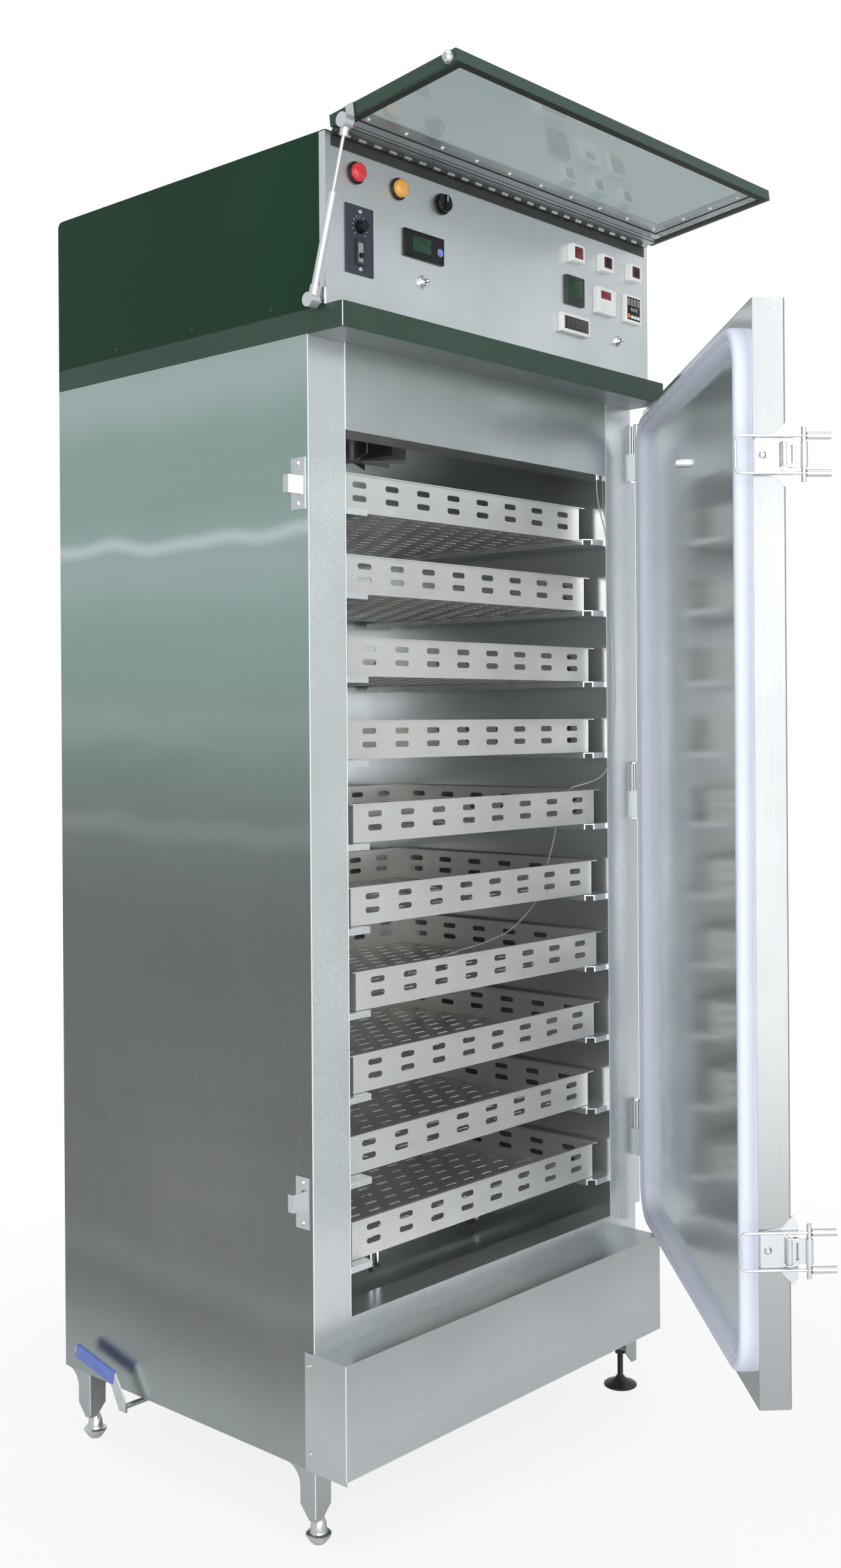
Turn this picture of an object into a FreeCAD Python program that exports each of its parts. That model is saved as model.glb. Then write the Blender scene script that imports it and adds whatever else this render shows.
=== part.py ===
import FreeCAD, Part
import math
import os
import re
import Sketcher
from FreeCAD import Placement, Rotation, Vector

os.makedirs("parts", exist_ok=True)

# Steam cabinet, door and instrument lid open as in use. +Z up, front faces -Y.
# Origin on the floor, in the middle of the width, at the plane of the body's front.
# Lengths in millimetres, angles in degrees.

SIZES = {
    # Body
    "body_width": 740,
    "body_depth": 556,
    "body_base": 107,
    "body_top": 1618,
    "sheet_wall": 1.5,
    "opening_width": 600,
    "opening_bottom": 295,
    "opening_top": 1500,
    "jamb_depth": 50,
    "header_seam": 0.5,
    "liner_wall": 1.2,
    "liner_back": 515,
    "liner_floor": 215,
    "liner_ceiling": 1560,
    "foam_gap": 0.3,
    # Head
    "band_height": 34,
    "band_overhang": 66,
    "band_flange": 30,
    "panel_setback": 36,
    "panel_wrap": 12,
    "head_top": 1881,
    "head_round": 10,
    # Apron
    "apron_reach": 60,
    "apron_top": 264,
    "apron_bottom": 112,
    "apron_wrap": 17,
    "apron_right": 352,
    # Legs and feet
    "leg_sheet": 2,
    "leg_width": 29,
    "leg_flare": 26,
    "leg_tip": 40,
    "leg_tip_width": 12,
    "leg_taper": 18,
    "leg_pad": 62,
    "leg_pad_wall": 5,
    "leg_pitch": 494,
    "foot_side": 22,
    "foot_front": 17,
    "foot_radius": 27,
    "glide_radius": 17.3,
    "glide_rim": 12.5,
    "foot_rim": 4,
    "foot_rise": 16,
    "stem_radius": 5,
    # Trays
    "tray_width": 556,
    "tray_depth": 430,
    "tray_height": 54,
    "tray_wall": 1.2,
    "tray_lip": 10,
    "tray_front_lip": 4,
    "tray_pitch": 115,
    "top_tray_rim": 1450,
    "wall_slot_length": 28,
    "wall_slot_height": 8.5,
    "wall_slot_pitch": 67,
    "wall_slot_row": 15,
    "wall_slot_row_gap": 19,
    "side_slot_first": 47.5,
    "floor_slot_length": 24,
    "floor_slot_width": 7,
    "floor_slot_pitch": 44,
    "floor_row_pitch": 60,
    "floor_row_first": 48,
    "floor_row_stagger": 30,
    # Rails
    "rail_width": 45,
    "rail_height": 9,
    "rail_front": 3,
    "rail_back": 500,
    "rail_wall": 1.5,
    "rail_corner_cut": 12,
    "tray_rest": 0.6,
    # Door
    "hinge_sideways": 6,
    "hinge_forward": 9,
    "door_heel": 8,
    "door_width": 736,
    "door_sill_gap": 5,
    "door_head_gap": 6,
    "door_thickness": 40,
    "door_round": 3,
    "door_open": 44.7,
    "gasket_height": 18,
    "gasket_width": 25,
    "gasket_inset": 20,
    "gasket_round": 60,
    "gasket_crown": 6,
    "seal_gap": 0.3,
    "vent_from_axis": 333,
    "vent_level": 1477,
    "vent_radius": 7,
    "vent_length": 13.5,
    # Door hinges
    "hinge_pin": 3,
    "hinge_knuckle": 6,
    "hinge_height": 90,
    "hinge_leaf": 3,
    "hinge_reach": 34,
    "hinge_low": 380,
    "hinge_pitch": 560,
    "hinge_gap": 0.3,
    "pin_clearance": 0.05,
    # Door latches
    "latch_high": 1421,
    "latch_low": 462,
    "latch_plate": 1.5,
    "latch_wing": 42,
    "latch_overhang": 8,
    "latch_pivot_inset": 4,
    "latch_pivot_out": 6.5,
    "latch_pin": 2,
    "latch_knuckle": 3.8,
    "lever_width": 30,
    "lever_reach": 24,
    "lever_sheet": 2.5,
    "barrel_radius": 3,
    "barrel_length": 66,
    "curl_radius": 5,
    "bail_wire": 1.75,
    "bail_spread": 45,
    "bail_loop": 25,
    "bail_corner": 8,
    "bail_nut_radius": 4.5,
    "bail_thread": 20,
    # Strikes
    "strike_width": 26,
    "strike_height": 69,
    "strike_front": 6,
    "strike_hook_height": 24,
    "strike_reach": 15,
    "strike_lip": 10,
    "strike_screw": 4,
    "strike_screw_pitch": 54,
    # Lid
    "lid_gap": 5,
    "lid_drop": 1,
    "lid_height": 226,
    "lid_thickness": 16,
    "lid_open": 97,
    "lid_top_margin": 5,
    "lid_border_free": 10.5,
    "lid_border_hinge": 24,
    "lid_border_side": 17,
    "lid_outer_border": 16,
    "trim_cover": 3,
    "seal_cover": 4,
    "glass_thickness": 4,
    "glass_seal": 2,
    "lid_hinge_knuckle": 3.5,
    "lid_hinge_pin": 1.6,
    "lid_hinge_leaf": 1,
    "lid_hinge_reach": 18,
    "lid_hinge_segment": 15,
    "lid_hinge_segments": 48,
    "lid_knob_radius": 7.5,
    # Gas strut
    "strut_out": 12,
    "strut_low_back": -22,
    "strut_low_level": 1656,
    "strut_arm_back": 10.6,
    "strut_arm_down": 45,
    "ball_radius": 5,
    "stud_radius": 3,
    "socket_radius": 9.5,
    "socket_clearance": 0.1,
    "strut_tube": 5,
    "strut_rod_radius": 2.2,
    "strut_tube_start": 12,
    "strut_tube_length": 127,
    "strut_rod_hidden": 15,
    "strut_open_gap": 0.8,
    # Control panel units: side place, level above the band, width, height and reach
    "red_lamp_x": -314,
    "red_lamp_z": 184,
    "yellow_lamp_x": -231,
    "yellow_lamp_z": 182,
    "selector_x": -141,
    "selector_z": 182,
    "round_bezel": 15,
    "round_bezel_reach": 4,
    "round_barrel": 11,
    "lens_radius": 12.5,
    "lens_reach": 13,
    "panel_depth_behind": 40,
    "speed_plate_x": -308,
    "speed_plate_z": 95,
    "speed_plate_width": 53,
    "speed_plate_height": 92,
    "speed_plate_reach": 2,
    "display_x": -180,
    "display_z": 113,
    "display_width": 82,
    "display_height": 38,
    "display_reach": 4,
    "thermostat_x": 169,
    "thermostat_z": 118,
    "thermostat_width": 46,
    "thermostat_height": 45,
    "thermostat_reach": 5,
    "white_unit_x": 244,
    "white_unit_z": 115,
    "white_unit_width": 50,
    "white_unit_height": 42,
    "white_unit_reach": 10,
    "timer_x": 320,
    "timer_z": 116,
    "timer_width": 44,
    "timer_height": 45,
    "timer_reach": 8,
    "meter_x": 164,
    "meter_z": 64,
    "meter_width": 73,
    "meter_height": 30,
    "meter_reach": 9,
    "rocker_first_x": 168.5,
    "rocker_pitch": 77,
    "rocker_z": 175,
    "rocker_bezel_width": 31,
    "rocker_bezel_height": 27,
    "rocker_bezel_reach": 12,
    "rocker_width": 17,
    "rocker_half": 9,
    "rocker_play": 0.3,
    "knob_radius": 12,
    "knob_reach": 13,
    "speed_knob_radius": 9,
    "speed_knob_z": 113,
    "speed_switch_z": 79,
    "button_radius": 4.5,
    "toggle_first_x": -182,
    "toggle_first_z": 64,
    "toggle_second_x": 285,
    "toggle_second_z": 60,
    "toggle_ball": 3,
    "toggle_bush": 5.5,
    "toggle_length": 8,
    "toggle_pin": 1,
    # Fan
    "fan_y": 285,
    "fan_shaft": 5,
    "fan_passage": 8,
    "fan_radius": 90,
    "fan_blade": 26,
    "motor_radius": 45,
    "motor_height": 80,
    # Water, heat and drain
    "pipe_clearance": 0.3,
    "drain_x": -270,
    "drain_y": 330,
    "drain_radius": 8,
    "valve_x": -300,
    "valve_y": 385,
    "valve_z": 94,
    "valve_radius": 12.5,
    "lever_x": -391,
    "drain_stem": 4,
    "inlet_x": 250,
    "inlet_z": 238,
    "inlet_radius": 8,
    "inlet_reach": 38,
    "gland_x": 200,
    "gland_z": 1700,
    "gland_radius": 9,
    "heater_z": 236,
    "heater_radius": 4,
    "heater_flange": 14,
    "probe_x": -145,
    "probe_y": 100,
    "probe_radius": 4,
    "probe_low": 303,
    "probe_bracket": 346,
    # Sensor lead
    "lead_radius": 1.1,
    "lead_gland_radius": 4,
    "lead_gland_length": 6,
}

doc = FreeCAD.newDocument("steam_cabinet")
sheet = doc.addObject("Spreadsheet::Sheet", "Dims")
for row, (word, amount) in enumerate(SIZES.items(), 1):
    sheet.set(f"A{row}", word)
    sheet.set(f"B{row}", str(amount))
    sheet.setAlias(f"B{row}", word)
doc.recompute()


def bind(formula):
    """Turn a formula over size names into an expression on the sheet."""
    return re.sub(r"[a-z_]+", lambda word: f"Dims.{word[0]}" if word[0] in SIZES else word[0], str(formula))


def value(formula):
    """Number that a formula over size names has now."""
    return float(sheet.evalExpression(bind(formula)))


# Solids

TURNS = {
    "x": Rotation(Vector(0, 1, 0), 90),
    "y": Rotation(Vector(1, 0, 0), -90),
    "z": Rotation(),
}


def seat(piece, x, y, z):
    """Bind the place of a piece."""
    for letter, formula in zip("xyz", (x, y, z)):
        piece.setExpression(f"Placement.Base.{letter}", bind(formula))


def block(name, x, y, z):
    """Box between bounds; x, y and z are pairs of formulas."""
    piece = doc.addObject("Part::Box", name)
    for side, (low, high) in zip(("Length", "Width", "Height"), (x, y, z)):
        piece.setExpression(side, bind(f"({high}) - ({low})"))
    seat(piece, x[0], y[0], z[0])
    return piece


def rod(name, axis, start, length, radius):
    """Cylinder from a start point along an axis."""
    piece = doc.addObject("Part::Cylinder", name)
    piece.Placement = Placement(Vector(), TURNS[axis])
    piece.setExpression("Height", bind(length))
    piece.setExpression("Radius", bind(radius))
    seat(piece, *start)
    return piece


def cone(name, axis, start, length, first, last):
    """Cone from a start point along an axis, with its first and last radius."""
    piece = doc.addObject("Part::Cone", name)
    piece.Placement = Placement(Vector(), TURNS[axis])
    piece.setExpression("Height", bind(length))
    piece.setExpression("Radius1", bind(first))
    piece.setExpression("Radius2", bind(last))
    seat(piece, *start)
    return piece


def ball(name, centre, radius):
    """Sphere at a centre."""
    piece = doc.addObject("Part::Sphere", name)
    piece.setExpression("Radius", bind(radius))
    seat(piece, *centre)
    return piece


def fuse(name, *pieces):
    """One solid from pieces that overlap."""
    result = doc.addObject("Part::MultiFuse", name)
    result.Shapes = list(pieces)
    result.Refine = True
    return result


def cut(name, base, *tools):
    """Base without its tools."""
    result = doc.addObject("Part::Cut", name)
    result.Base = base
    result.Tool = tools[0] if len(tools) == 1 else fuse(f"{name}_tools", *tools)
    return result


def group(name, *pieces):
    """Separate solids of one sub-part."""
    result = doc.addObject("Part::Compound", name)
    result.Links = list(pieces)
    return result


# Sketches and body features

def draw(part, name, role, level="0"):
    """Sketch on an origin plane of its body, moved to a level along the world axis."""
    drawing = part.newObject("Sketcher::SketchObject", name)
    base = next(item for item in part.Origin.OriginFeatures if item.Role == role)
    drawing.AttachmentSupport = [(base, "")]
    drawing.MapMode = "FlatFace"
    sign = "-" if role == "XZ_Plane" else ""
    drawing.setExpression("AttachmentOffset.Base.z", bind(f"{sign}({level})"))
    return drawing


def fix(drawing, kind, first, second, formula):
    """Bound distance from the sketch's origin to a point of its geometry."""
    index = drawing.addConstraint(Sketcher.Constraint(kind, -1, 1, first, second, value(formula)))
    drawing.setExpression(f"Constraints[{index}]", bind(formula))


def fix_radius(drawing, edge, formula):
    """Bound radius of an arc or a circle."""
    index = drawing.addConstraint(Sketcher.Constraint("Radius", edge, value(formula)))
    drawing.setExpression(f"Constraints[{index}]", bind(formula))


def outline(drawing, corners):
    """Closed outline; a third formula makes the edge to that corner an arc, left-turning if positive."""
    spots = [Vector(value(corner[0]), value(corner[1]), 0) for corner in corners]
    first = drawing.GeometryCount
    ends = []
    for place, corner in enumerate(corners):
        start, end = spots[place - 1], spots[place]
        if len(corner) == 2:
            drawing.addGeometry(Part.LineSegment(start, end), False)
            ends.append((1, 2))
            continue
        radius = value(corner[2])
        chord = end - start
        left = Vector(-chord.y, chord.x, 0).normalize() * math.copysign(1, radius)
        rise = math.sqrt(radius ** 2 - (chord.Length / 2) ** 2)
        centre = start + chord * 0.5 + left * rise
        drawing.addGeometry(Part.Arc(start, centre - left * abs(radius), end), False)
        ends.append((1, 2) if radius > 0 else (2, 1))
    count = len(corners)
    for place, corner in enumerate(corners):
        after = (place + 1) % count
        joint = Sketcher.Constraint("Coincident", first + place, ends[place][1], first + after, ends[after][0])
        drawing.addConstraint(joint)
        fix(drawing, "DistanceX", first + place, ends[place][1], corner[0])
        fix(drawing, "DistanceY", first + place, ends[place][1], corner[1])
        if len(corner) == 3:
            fix_radius(drawing, first + place, f"abs({corner[2]})")


def rectangle(drawing, x, y, radius=None):
    """Rectangle between bounds, with round corners if a radius is given."""
    (west, east), (south, north) = x, y
    if radius is None:
        outline(drawing, [(west, south), (east, south), (east, north), (west, north)])
        return
    outline(drawing, [
        (f"{east} - {radius}", south), (east, f"{south} + {radius}", radius),
        (east, f"{north} - {radius}"), (f"{east} - {radius}", north, radius),
        (f"{west} + {radius}", north), (west, f"{north} - {radius}", radius),
        (west, f"{south} + {radius}"), (f"{west} + {radius}", south, radius),
    ])


def slot(drawing, x, y, length, height):
    """Slot with round ends about a centre."""
    middle = Vector(value(x), value(y), 0)
    radius = value(height) / 2
    half = value(length) / 2 - radius
    first = drawing.GeometryCount
    west, east = middle - Vector(half, 0, 0), middle + Vector(half, 0, 0)
    up = Vector(0, radius, 0)
    side = Vector(radius, 0, 0)
    drawing.addGeometry(Part.LineSegment(west - up, east - up), False)
    drawing.addGeometry(Part.Arc(east - up, east + side, east + up), False)
    drawing.addGeometry(Part.LineSegment(east + up, west + up), False)
    drawing.addGeometry(Part.Arc(west + up, west - side, west - up), False)
    for place in range(4):
        drawing.addConstraint(Sketcher.Constraint("Tangent", first + place, 2, first + (place + 1) % 4, 1))
    drawing.addConstraint(Sketcher.Constraint("Equal", first + 1, first + 3))
    fix_radius(drawing, first + 1, f"({height}) / 2")
    reach = f"(({length}) - ({height})) / 2"
    fix(drawing, "DistanceX", first + 1, 3, f"{x} + {reach}")
    fix(drawing, "DistanceX", first + 3, 3, f"{x} - {reach}")
    fix(drawing, "DistanceY", first + 1, 3, y)
    fix(drawing, "DistanceY", first + 3, 3, y)


def circle(drawing, x, y, radius):
    """Circle about a centre."""
    index = drawing.addGeometry(Part.Circle(Vector(value(x), value(y), 0), Vector(0, 0, 1), value(radius)), False)
    fix(drawing, "DistanceX", index, 3, x)
    fix(drawing, "DistanceY", index, 3, y)
    fix_radius(drawing, index, radius)


def extrude(part, kind, name, drawing, length):
    """Pad or Pocket that runs from its sketch towards the plus side of the axis."""
    feature = part.newObject(f"PartDesign::{kind}", name)
    feature.Profile = drawing
    feature.setExpression("Length", bind(length))
    against = drawing.AttachmentSupport[0][0].Role == "XZ_Plane"
    feature.Reversed = against == (kind == "Pad")
    return feature


def repeat(part, name, feature, role, pitch, count):
    """Row of a feature along an origin axis."""
    pattern = part.newObject("PartDesign::LinearPattern", name)
    pattern.Originals = [feature]
    pattern.Direction = (next(item for item in part.Origin.OriginFeatures if item.Role == role), [""])
    pattern.Mode = "Extent"
    pattern.Occurrences = count
    pattern.setExpression("Length", bind(f"({pitch}) * {count - 1}"))
    part.Tip = pattern
    return pattern


nodes = []


def node(name, piece):
    """Register a sub-part under its own label."""
    piece.Label = name
    nodes.append(piece)
    return piece


# Shared places

half_width = "body_width / 2"
half_opening = "opening_width / 2"
body_inside = "body_width / 2 - sheet_wall"
band_top = "body_top + band_height"
soffit_top = "body_top + sheet_wall"
panel_back = "-panel_setback + sheet_wall"
foot_x = "body_width / 2 - foot_side"
back_foot_y = "leg_pitch + foot_front"


def both(half):
    """Bounds either side of the middle."""
    return f"-({half})", half


# Passages that go through several sheets

fan_way = rod("fan_passage", "z", ("0", "fan_y", "liner_ceiling - 5"),
              "body_top - liner_ceiling + 2 * sheet_wall + 10", "fan_passage")
drain_way = rod("drain_passage", "z", ("drain_x", "drain_y", "body_base - 5"),
                "liner_floor - body_base + 10", "drain_radius + pipe_clearance")
inlet_way = rod("inlet_passage", "y", ("inlet_x", "liner_back - 5", "inlet_z"),
                "body_depth - liner_back + 10", "inlet_radius + pipe_clearance")
gland_way = rod("gland_passage", "y", ("gland_x", "body_depth - 10", "gland_z"), "20",
                "gland_radius + pipe_clearance")


# Outer shell: sides, back, bottom and top as one folded sheet, open to the front

node("outer_shell", cut(
    "outer_shell",
    block("shell_outside", both(half_width), ("sheet_wall", "body_depth"), ("body_base", "body_top")),
    block("shell_inside", both(body_inside), ("0", "body_depth - sheet_wall"),
          ("body_base + sheet_wall", "body_top - sheet_wall")),
    fan_way, drain_way, inlet_way))

# Front frame: stiles and sill, header sheet, head soffit

frame_sheet = cut(
    "frame_sheet",
    block("frame_blank", both(half_width), ("0", "sheet_wall"), ("body_base", "body_top")),
    block("frame_opening", both(half_opening), ("-1", "sheet_wall + 1"), ("opening_bottom", "body_top + 1")))
header_sheet = block("header_sheet", both(f"{half_opening} - header_seam"), ("0", "sheet_wall"),
                     ("opening_top", "body_top"))
soffit_sheet = cut(
    "soffit_sheet",
    block("soffit_blank", both(body_inside), ("-band_overhang + sheet_wall", "body_depth - sheet_wall"),
          ("body_top", soffit_top)),
    fan_way)
node("front_frame", group("front_frame", frame_sheet, header_sheet, soffit_sheet))


# Liner: cavity with a jamb sleeve; its floor is the water pan

def liner_block(name, x_half, grow):
    """Liner cavity grown outwards by a wall."""
    return block(name, both(x_half), (f"jamb_depth + liner_wall - ({grow})", f"liner_back + {grow}"),
                 (f"liner_floor - ({grow})", f"liner_ceiling + {grow}"))


def sleeve_block(name, x_half, grow, front):
    """Jamb sleeve grown outwards by a wall."""
    return block(name, both(x_half), (front, "jamb_depth + liner_wall + 1"),
                 (f"opening_bottom - ({grow})", f"opening_top + {grow}"))


liner_half = f"{half_opening} + liner_wall"
liner_outside = fuse("liner_outside", liner_block("cavity_outside", liner_half, "liner_wall"),
                     sleeve_block("sleeve_outside", liner_half, "liner_wall", "sheet_wall"))
node("liner", cut("liner", liner_outside, liner_block("cavity_inside", half_opening, "0"),
                  sleeve_block("sleeve_inside", half_opening, "0", "0"), fan_way, drain_way, inlet_way))

# Insulation fills the space between liner and shell

foam_half = f"{liner_half} + foam_gap"
node("insulation", cut(
    "insulation",
    block("foam_block", both(f"{body_inside} - foam_gap"),
          ("sheet_wall + foam_gap", "body_depth - sheet_wall - foam_gap"),
          ("body_base + sheet_wall + foam_gap", "body_top - sheet_wall - foam_gap")),
    liner_block("foam_cavity", foam_half, "liner_wall + foam_gap"),
    sleeve_block("foam_sleeve", foam_half, "liner_wall + foam_gap", "0"),
    fan_way, drain_way, inlet_way))

# Trays: one pressing, placed ten times, each pushed in as far as in the picture

TRAY_FRONTS = (38, 29, 21, 22, 12, 18, 9, 15, 28, 20)
for place, front in enumerate(TRAY_FRONTS, 1):
    word = f"tray_front_{'abcdefghij'[place - 1]}"
    row = len(SIZES) + 1
    SIZES[word] = front
    sheet.set(f"A{row}", word)
    sheet.set(f"B{row}", str(front))
    sheet.setAlias(f"B{row}", word)
doc.recompute()


def tray_bottom(place):
    """Height of the floor's underside of a tray, counted from the top."""
    return f"top_tray_rim - tray_height - {place - 1} * tray_pitch"


half_tray = "tray_width / 2"
pressing = doc.addObject("PartDesign::Body", "tray_pressing")
drawing = draw(pressing, "tray_blank", "XY_Plane")
rectangle(drawing, both(half_tray), ("0", "tray_depth"))
extrude(pressing, "Pad", "tray_box", drawing, "tray_height")
drawing = draw(pressing, "tray_hollow_outline", "XY_Plane", "tray_wall")
rectangle(drawing, both(f"{half_tray} - tray_wall"), ("tray_wall", "tray_depth - tray_wall"))
extrude(pressing, "Pocket", "tray_hollow", drawing, "tray_height")
drawing = draw(pressing, "tray_lip_outline", "XY_Plane", "tray_height - tray_wall")
rectangle(drawing, both(f"{half_tray} + tray_lip"), ("-tray_front_lip", "tray_depth + tray_lip"))
rectangle(drawing, both(f"{half_tray} - tray_wall"), ("tray_wall", "tray_depth - tray_wall"))
extrude(pressing, "Pad", "tray_lip_ring", drawing, "tray_wall")

wall_slot_rows = [f"tray_height - wall_slot_row - {row} * wall_slot_row_gap" for row in (0, 1)]
drawing = draw(pressing, "front_slot_outline", "XZ_Plane", "-tray_front_lip")
for level in wall_slot_rows:
    slot(drawing, "-3.5 * wall_slot_pitch", level, "wall_slot_length", "wall_slot_height")
feature = extrude(pressing, "Pocket", "front_slot", drawing, "tray_depth + 2 * tray_lip")
repeat(pressing, "front_slots", feature, "X_Axis", "wall_slot_pitch", 8)
drawing = draw(pressing, "side_slot_outline", "YZ_Plane", f"-({half_tray}) - 1")
for level in wall_slot_rows:
    slot(drawing, "side_slot_first", level, "wall_slot_length", "wall_slot_height")
feature = extrude(pressing, "Pocket", "side_slot", drawing, "tray_width + 2")
repeat(pressing, "side_slots", feature, "Y_Axis", "wall_slot_pitch", 6)
for word, start, columns, first_row in (
        ("even", 5.5, 12, "floor_row_first"), ("odd", 6, 13, "floor_row_first - floor_row_stagger")):
    drawing = draw(pressing, f"{word}_slot_outline", "XY_Plane", "-1")
    for row in range(7):
        slot(drawing, f"-{start} * floor_slot_pitch", f"{first_row} + {row} * floor_row_pitch", "floor_slot_length",
             "floor_slot_width")
    feature = extrude(pressing, "Pocket", f"{word}_slot", drawing, "tray_wall + 2")
    repeat(pressing, f"{word}_slots", feature, "X_Axis", "floor_slot_pitch", columns)
doc.recompute()

for place in range(1, 11):
    tray = doc.addObject("PartDesign::Body", f"tray_{place}")
    tray.BaseFeature = pressing
    seat(tray, "0", f"tray_front_{'abcdefghij'[place - 1]}", tray_bottom(place))
    node(f"tray_{place}", tray)

# Rails: inverted channels under each tray, fixed to the liner's sides


def rail(name, side, place):
    """Rail under one side of a tray."""
    inner = f"{half_opening} - rail_width"
    top = f"{tray_bottom(place)} - tray_rest"
    outside = (inner, half_opening)
    inside = (f"{inner} + rail_wall", f"{half_opening} - rail_wall")
    if side == "left":
        outside = (f"-({outside[1]})", f"-({outside[0]})")
        inside = (f"-({inside[1]})", f"-({inside[0]})")
    bar = block(f"{name}_bar", outside, ("rail_front", "rail_back"), (f"{top} - rail_height", top))
    channel = block(f"{name}_channel", inside, ("rail_front + rail_wall", "rail_back + 1"),
                    (f"{top} - rail_height - 1", f"{top} - rail_wall"))
    if side == "left":
        return cut(name, bar, channel)
    corner = block(f"{name}_corner", ("0", "rail_corner_cut * sqrt(2)"), ("0", "rail_corner_cut * sqrt(2)"),
                   ("0", "rail_height + 2"))
    corner.Placement = Placement(Vector(), Rotation(Vector(0, 0, 1), 45))
    seat(corner, inner, "rail_front - rail_corner_cut", f"{top} - rail_height - 1")
    return cut(name, bar, channel, corner)


node("tray_rails", group("tray_rails", *[
    rail(f"rail_{side}_{place}", side, place) for place in range(1, 11) for side in ("left", "right")]))

# Apron: front plate, ledge and two wraps

apron_left = f"-({half_width}) - sheet_wall"
ledge_z = ("apron_top - sheet_wall", "apron_top")
node("apron", fuse(
    "apron",
    block("apron_front", (apron_left, "apron_right"), ("-apron_reach", "-apron_reach + sheet_wall"),
          ("apron_bottom", "apron_top")),
    block("apron_ledge", (apron_left, "apron_right"), ("-apron_reach", "0"), ledge_z),
    block("apron_left_wrap", (apron_left, f"-({half_width})"), ("-apron_reach", "apron_wrap"),
          ("body_base", "apron_top")),
    block("apron_right_wrap", ("apron_right - sheet_wall", "apron_right"), ("-apron_reach", "0"),
          ("apron_bottom", "apron_top"))))

# Legs: folded angle plates under the corners, each with a pad for its foot

front_leg = doc.addObject("PartDesign::Body", "leg_front_left")
LEG_OUTLINE = (
    ("0", "leg_tip"), ("leg_tip_width", "leg_tip"), ("leg_width", "leg_tip + leg_taper"),
    ("leg_width", "body_base - leg_flare"), ("leg_width + leg_flare", "body_base", "-leg_flare"),
    ("0", "body_base"),
)
drawing = draw(front_leg, "leg_front_outline", "XZ_Plane")
outline(drawing, [(f"-({half_width}) + {corner[0]}", *corner[1:]) for corner in LEG_OUTLINE])
extrude(front_leg, "Pad", "leg_front_plate", drawing, "leg_sheet")
drawing = draw(front_leg, "leg_side_outline", "YZ_Plane", f"-({half_width})")
outline(drawing, LEG_OUTLINE)
extrude(front_leg, "Pad", "leg_side_plate", drawing, "leg_sheet")
drawing = draw(front_leg, "leg_pad_outline", "XY_Plane", "leg_pad")
rectangle(drawing, (f"-({half_width})", "-(body_width / 2) + leg_width"), ("0", "leg_width"))
circle(drawing, f"-({foot_x})", "foot_front", "stem_radius + pin_clearance")
extrude(front_leg, "Pad", "leg_pad_plate", drawing, "leg_pad_wall")


def mirrored(name, source):
    """Mirror image of a piece about the body's middle."""
    image = doc.addObject("Part::Mirroring", name)
    image.Source = source
    image.Normal = Vector(1, 0, 0)
    return image


def set_back(name, source):
    """Same leg again, under the back of the body."""
    twin = group(name, source)
    seat(twin, "0", "leg_pitch", "0")
    return twin


right_leg = mirrored("leg_front_right", front_leg)
node("legs", group(
    "legs", front_leg, right_leg,
    set_back("leg_back_left", front_leg), set_back("leg_back_right", right_leg)))


def stem(name, x, y):
    """Threaded stem of a foot with its nut under the leg's pad."""
    return (rod(f"{name}_stem", "z", (x, y, "foot_rim"), "leg_pad + leg_pad_wall + 8 - foot_rim", "stem_radius"),
            rod(f"{name}_nut", "z", (x, y, "leg_pad - 8"), "8", "stem_radius + 3.5"))


def disc_foot(name, x, y):
    """Levelling foot with a broad disc."""
    return fuse(
        name, rod(f"{name}_disc", "z", (x, y, "0"), "foot_rim", "foot_radius"),
        cone(f"{name}_cone", "z", (x, y, "foot_rim"), "foot_rise - foot_rim", "foot_radius - 2", "stem_radius + 2"),
        *stem(name, x, y))


def glide_foot(name, x, y):
    """Levelling foot with a rounded glide, a flange and a neck."""
    return fuse(
        name, cone(f"{name}_glide", "z", (x, y, "0"), "glide_rim", "glide_radius - 8", "glide_radius - 1"),
        rod(f"{name}_flange", "z", (x, y, "glide_rim"), "2.5", "glide_radius"),
        cone(f"{name}_neck", "z", (x, y, "glide_rim + 2.5"), "leg_tip - glide_rim - 4", "glide_radius - 5",
             "stem_radius + 2"),
        *stem(name, x, y))


node("feet", group(
    "feet", glide_foot("foot_front_left", f"-({foot_x})", "foot_front"),
    disc_foot("foot_front_right", foot_x, "foot_front"),
    glide_foot("foot_back_left", f"-({foot_x})", back_foot_y), glide_foot("foot_back_right", foot_x, back_foot_y)))

# Head: band, casing and control panel

node("head_band", cut(
    "head_band",
    block("band_outside", both(half_width), ("-band_overhang", "body_depth"), ("body_top", band_top)),
    block("band_inside", both(body_inside), ("-band_overhang + sheet_wall", "body_depth - sheet_wall"),
          ("body_top - 1", f"{band_top} - sheet_wall")),
    block("band_mouth", both(f"{half_width} - band_flange"),
          ("-panel_setback + band_flange / 2", "body_depth - band_flange"),
          (f"{band_top} - sheet_wall - 1", f"{band_top} + 1"))))

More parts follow.
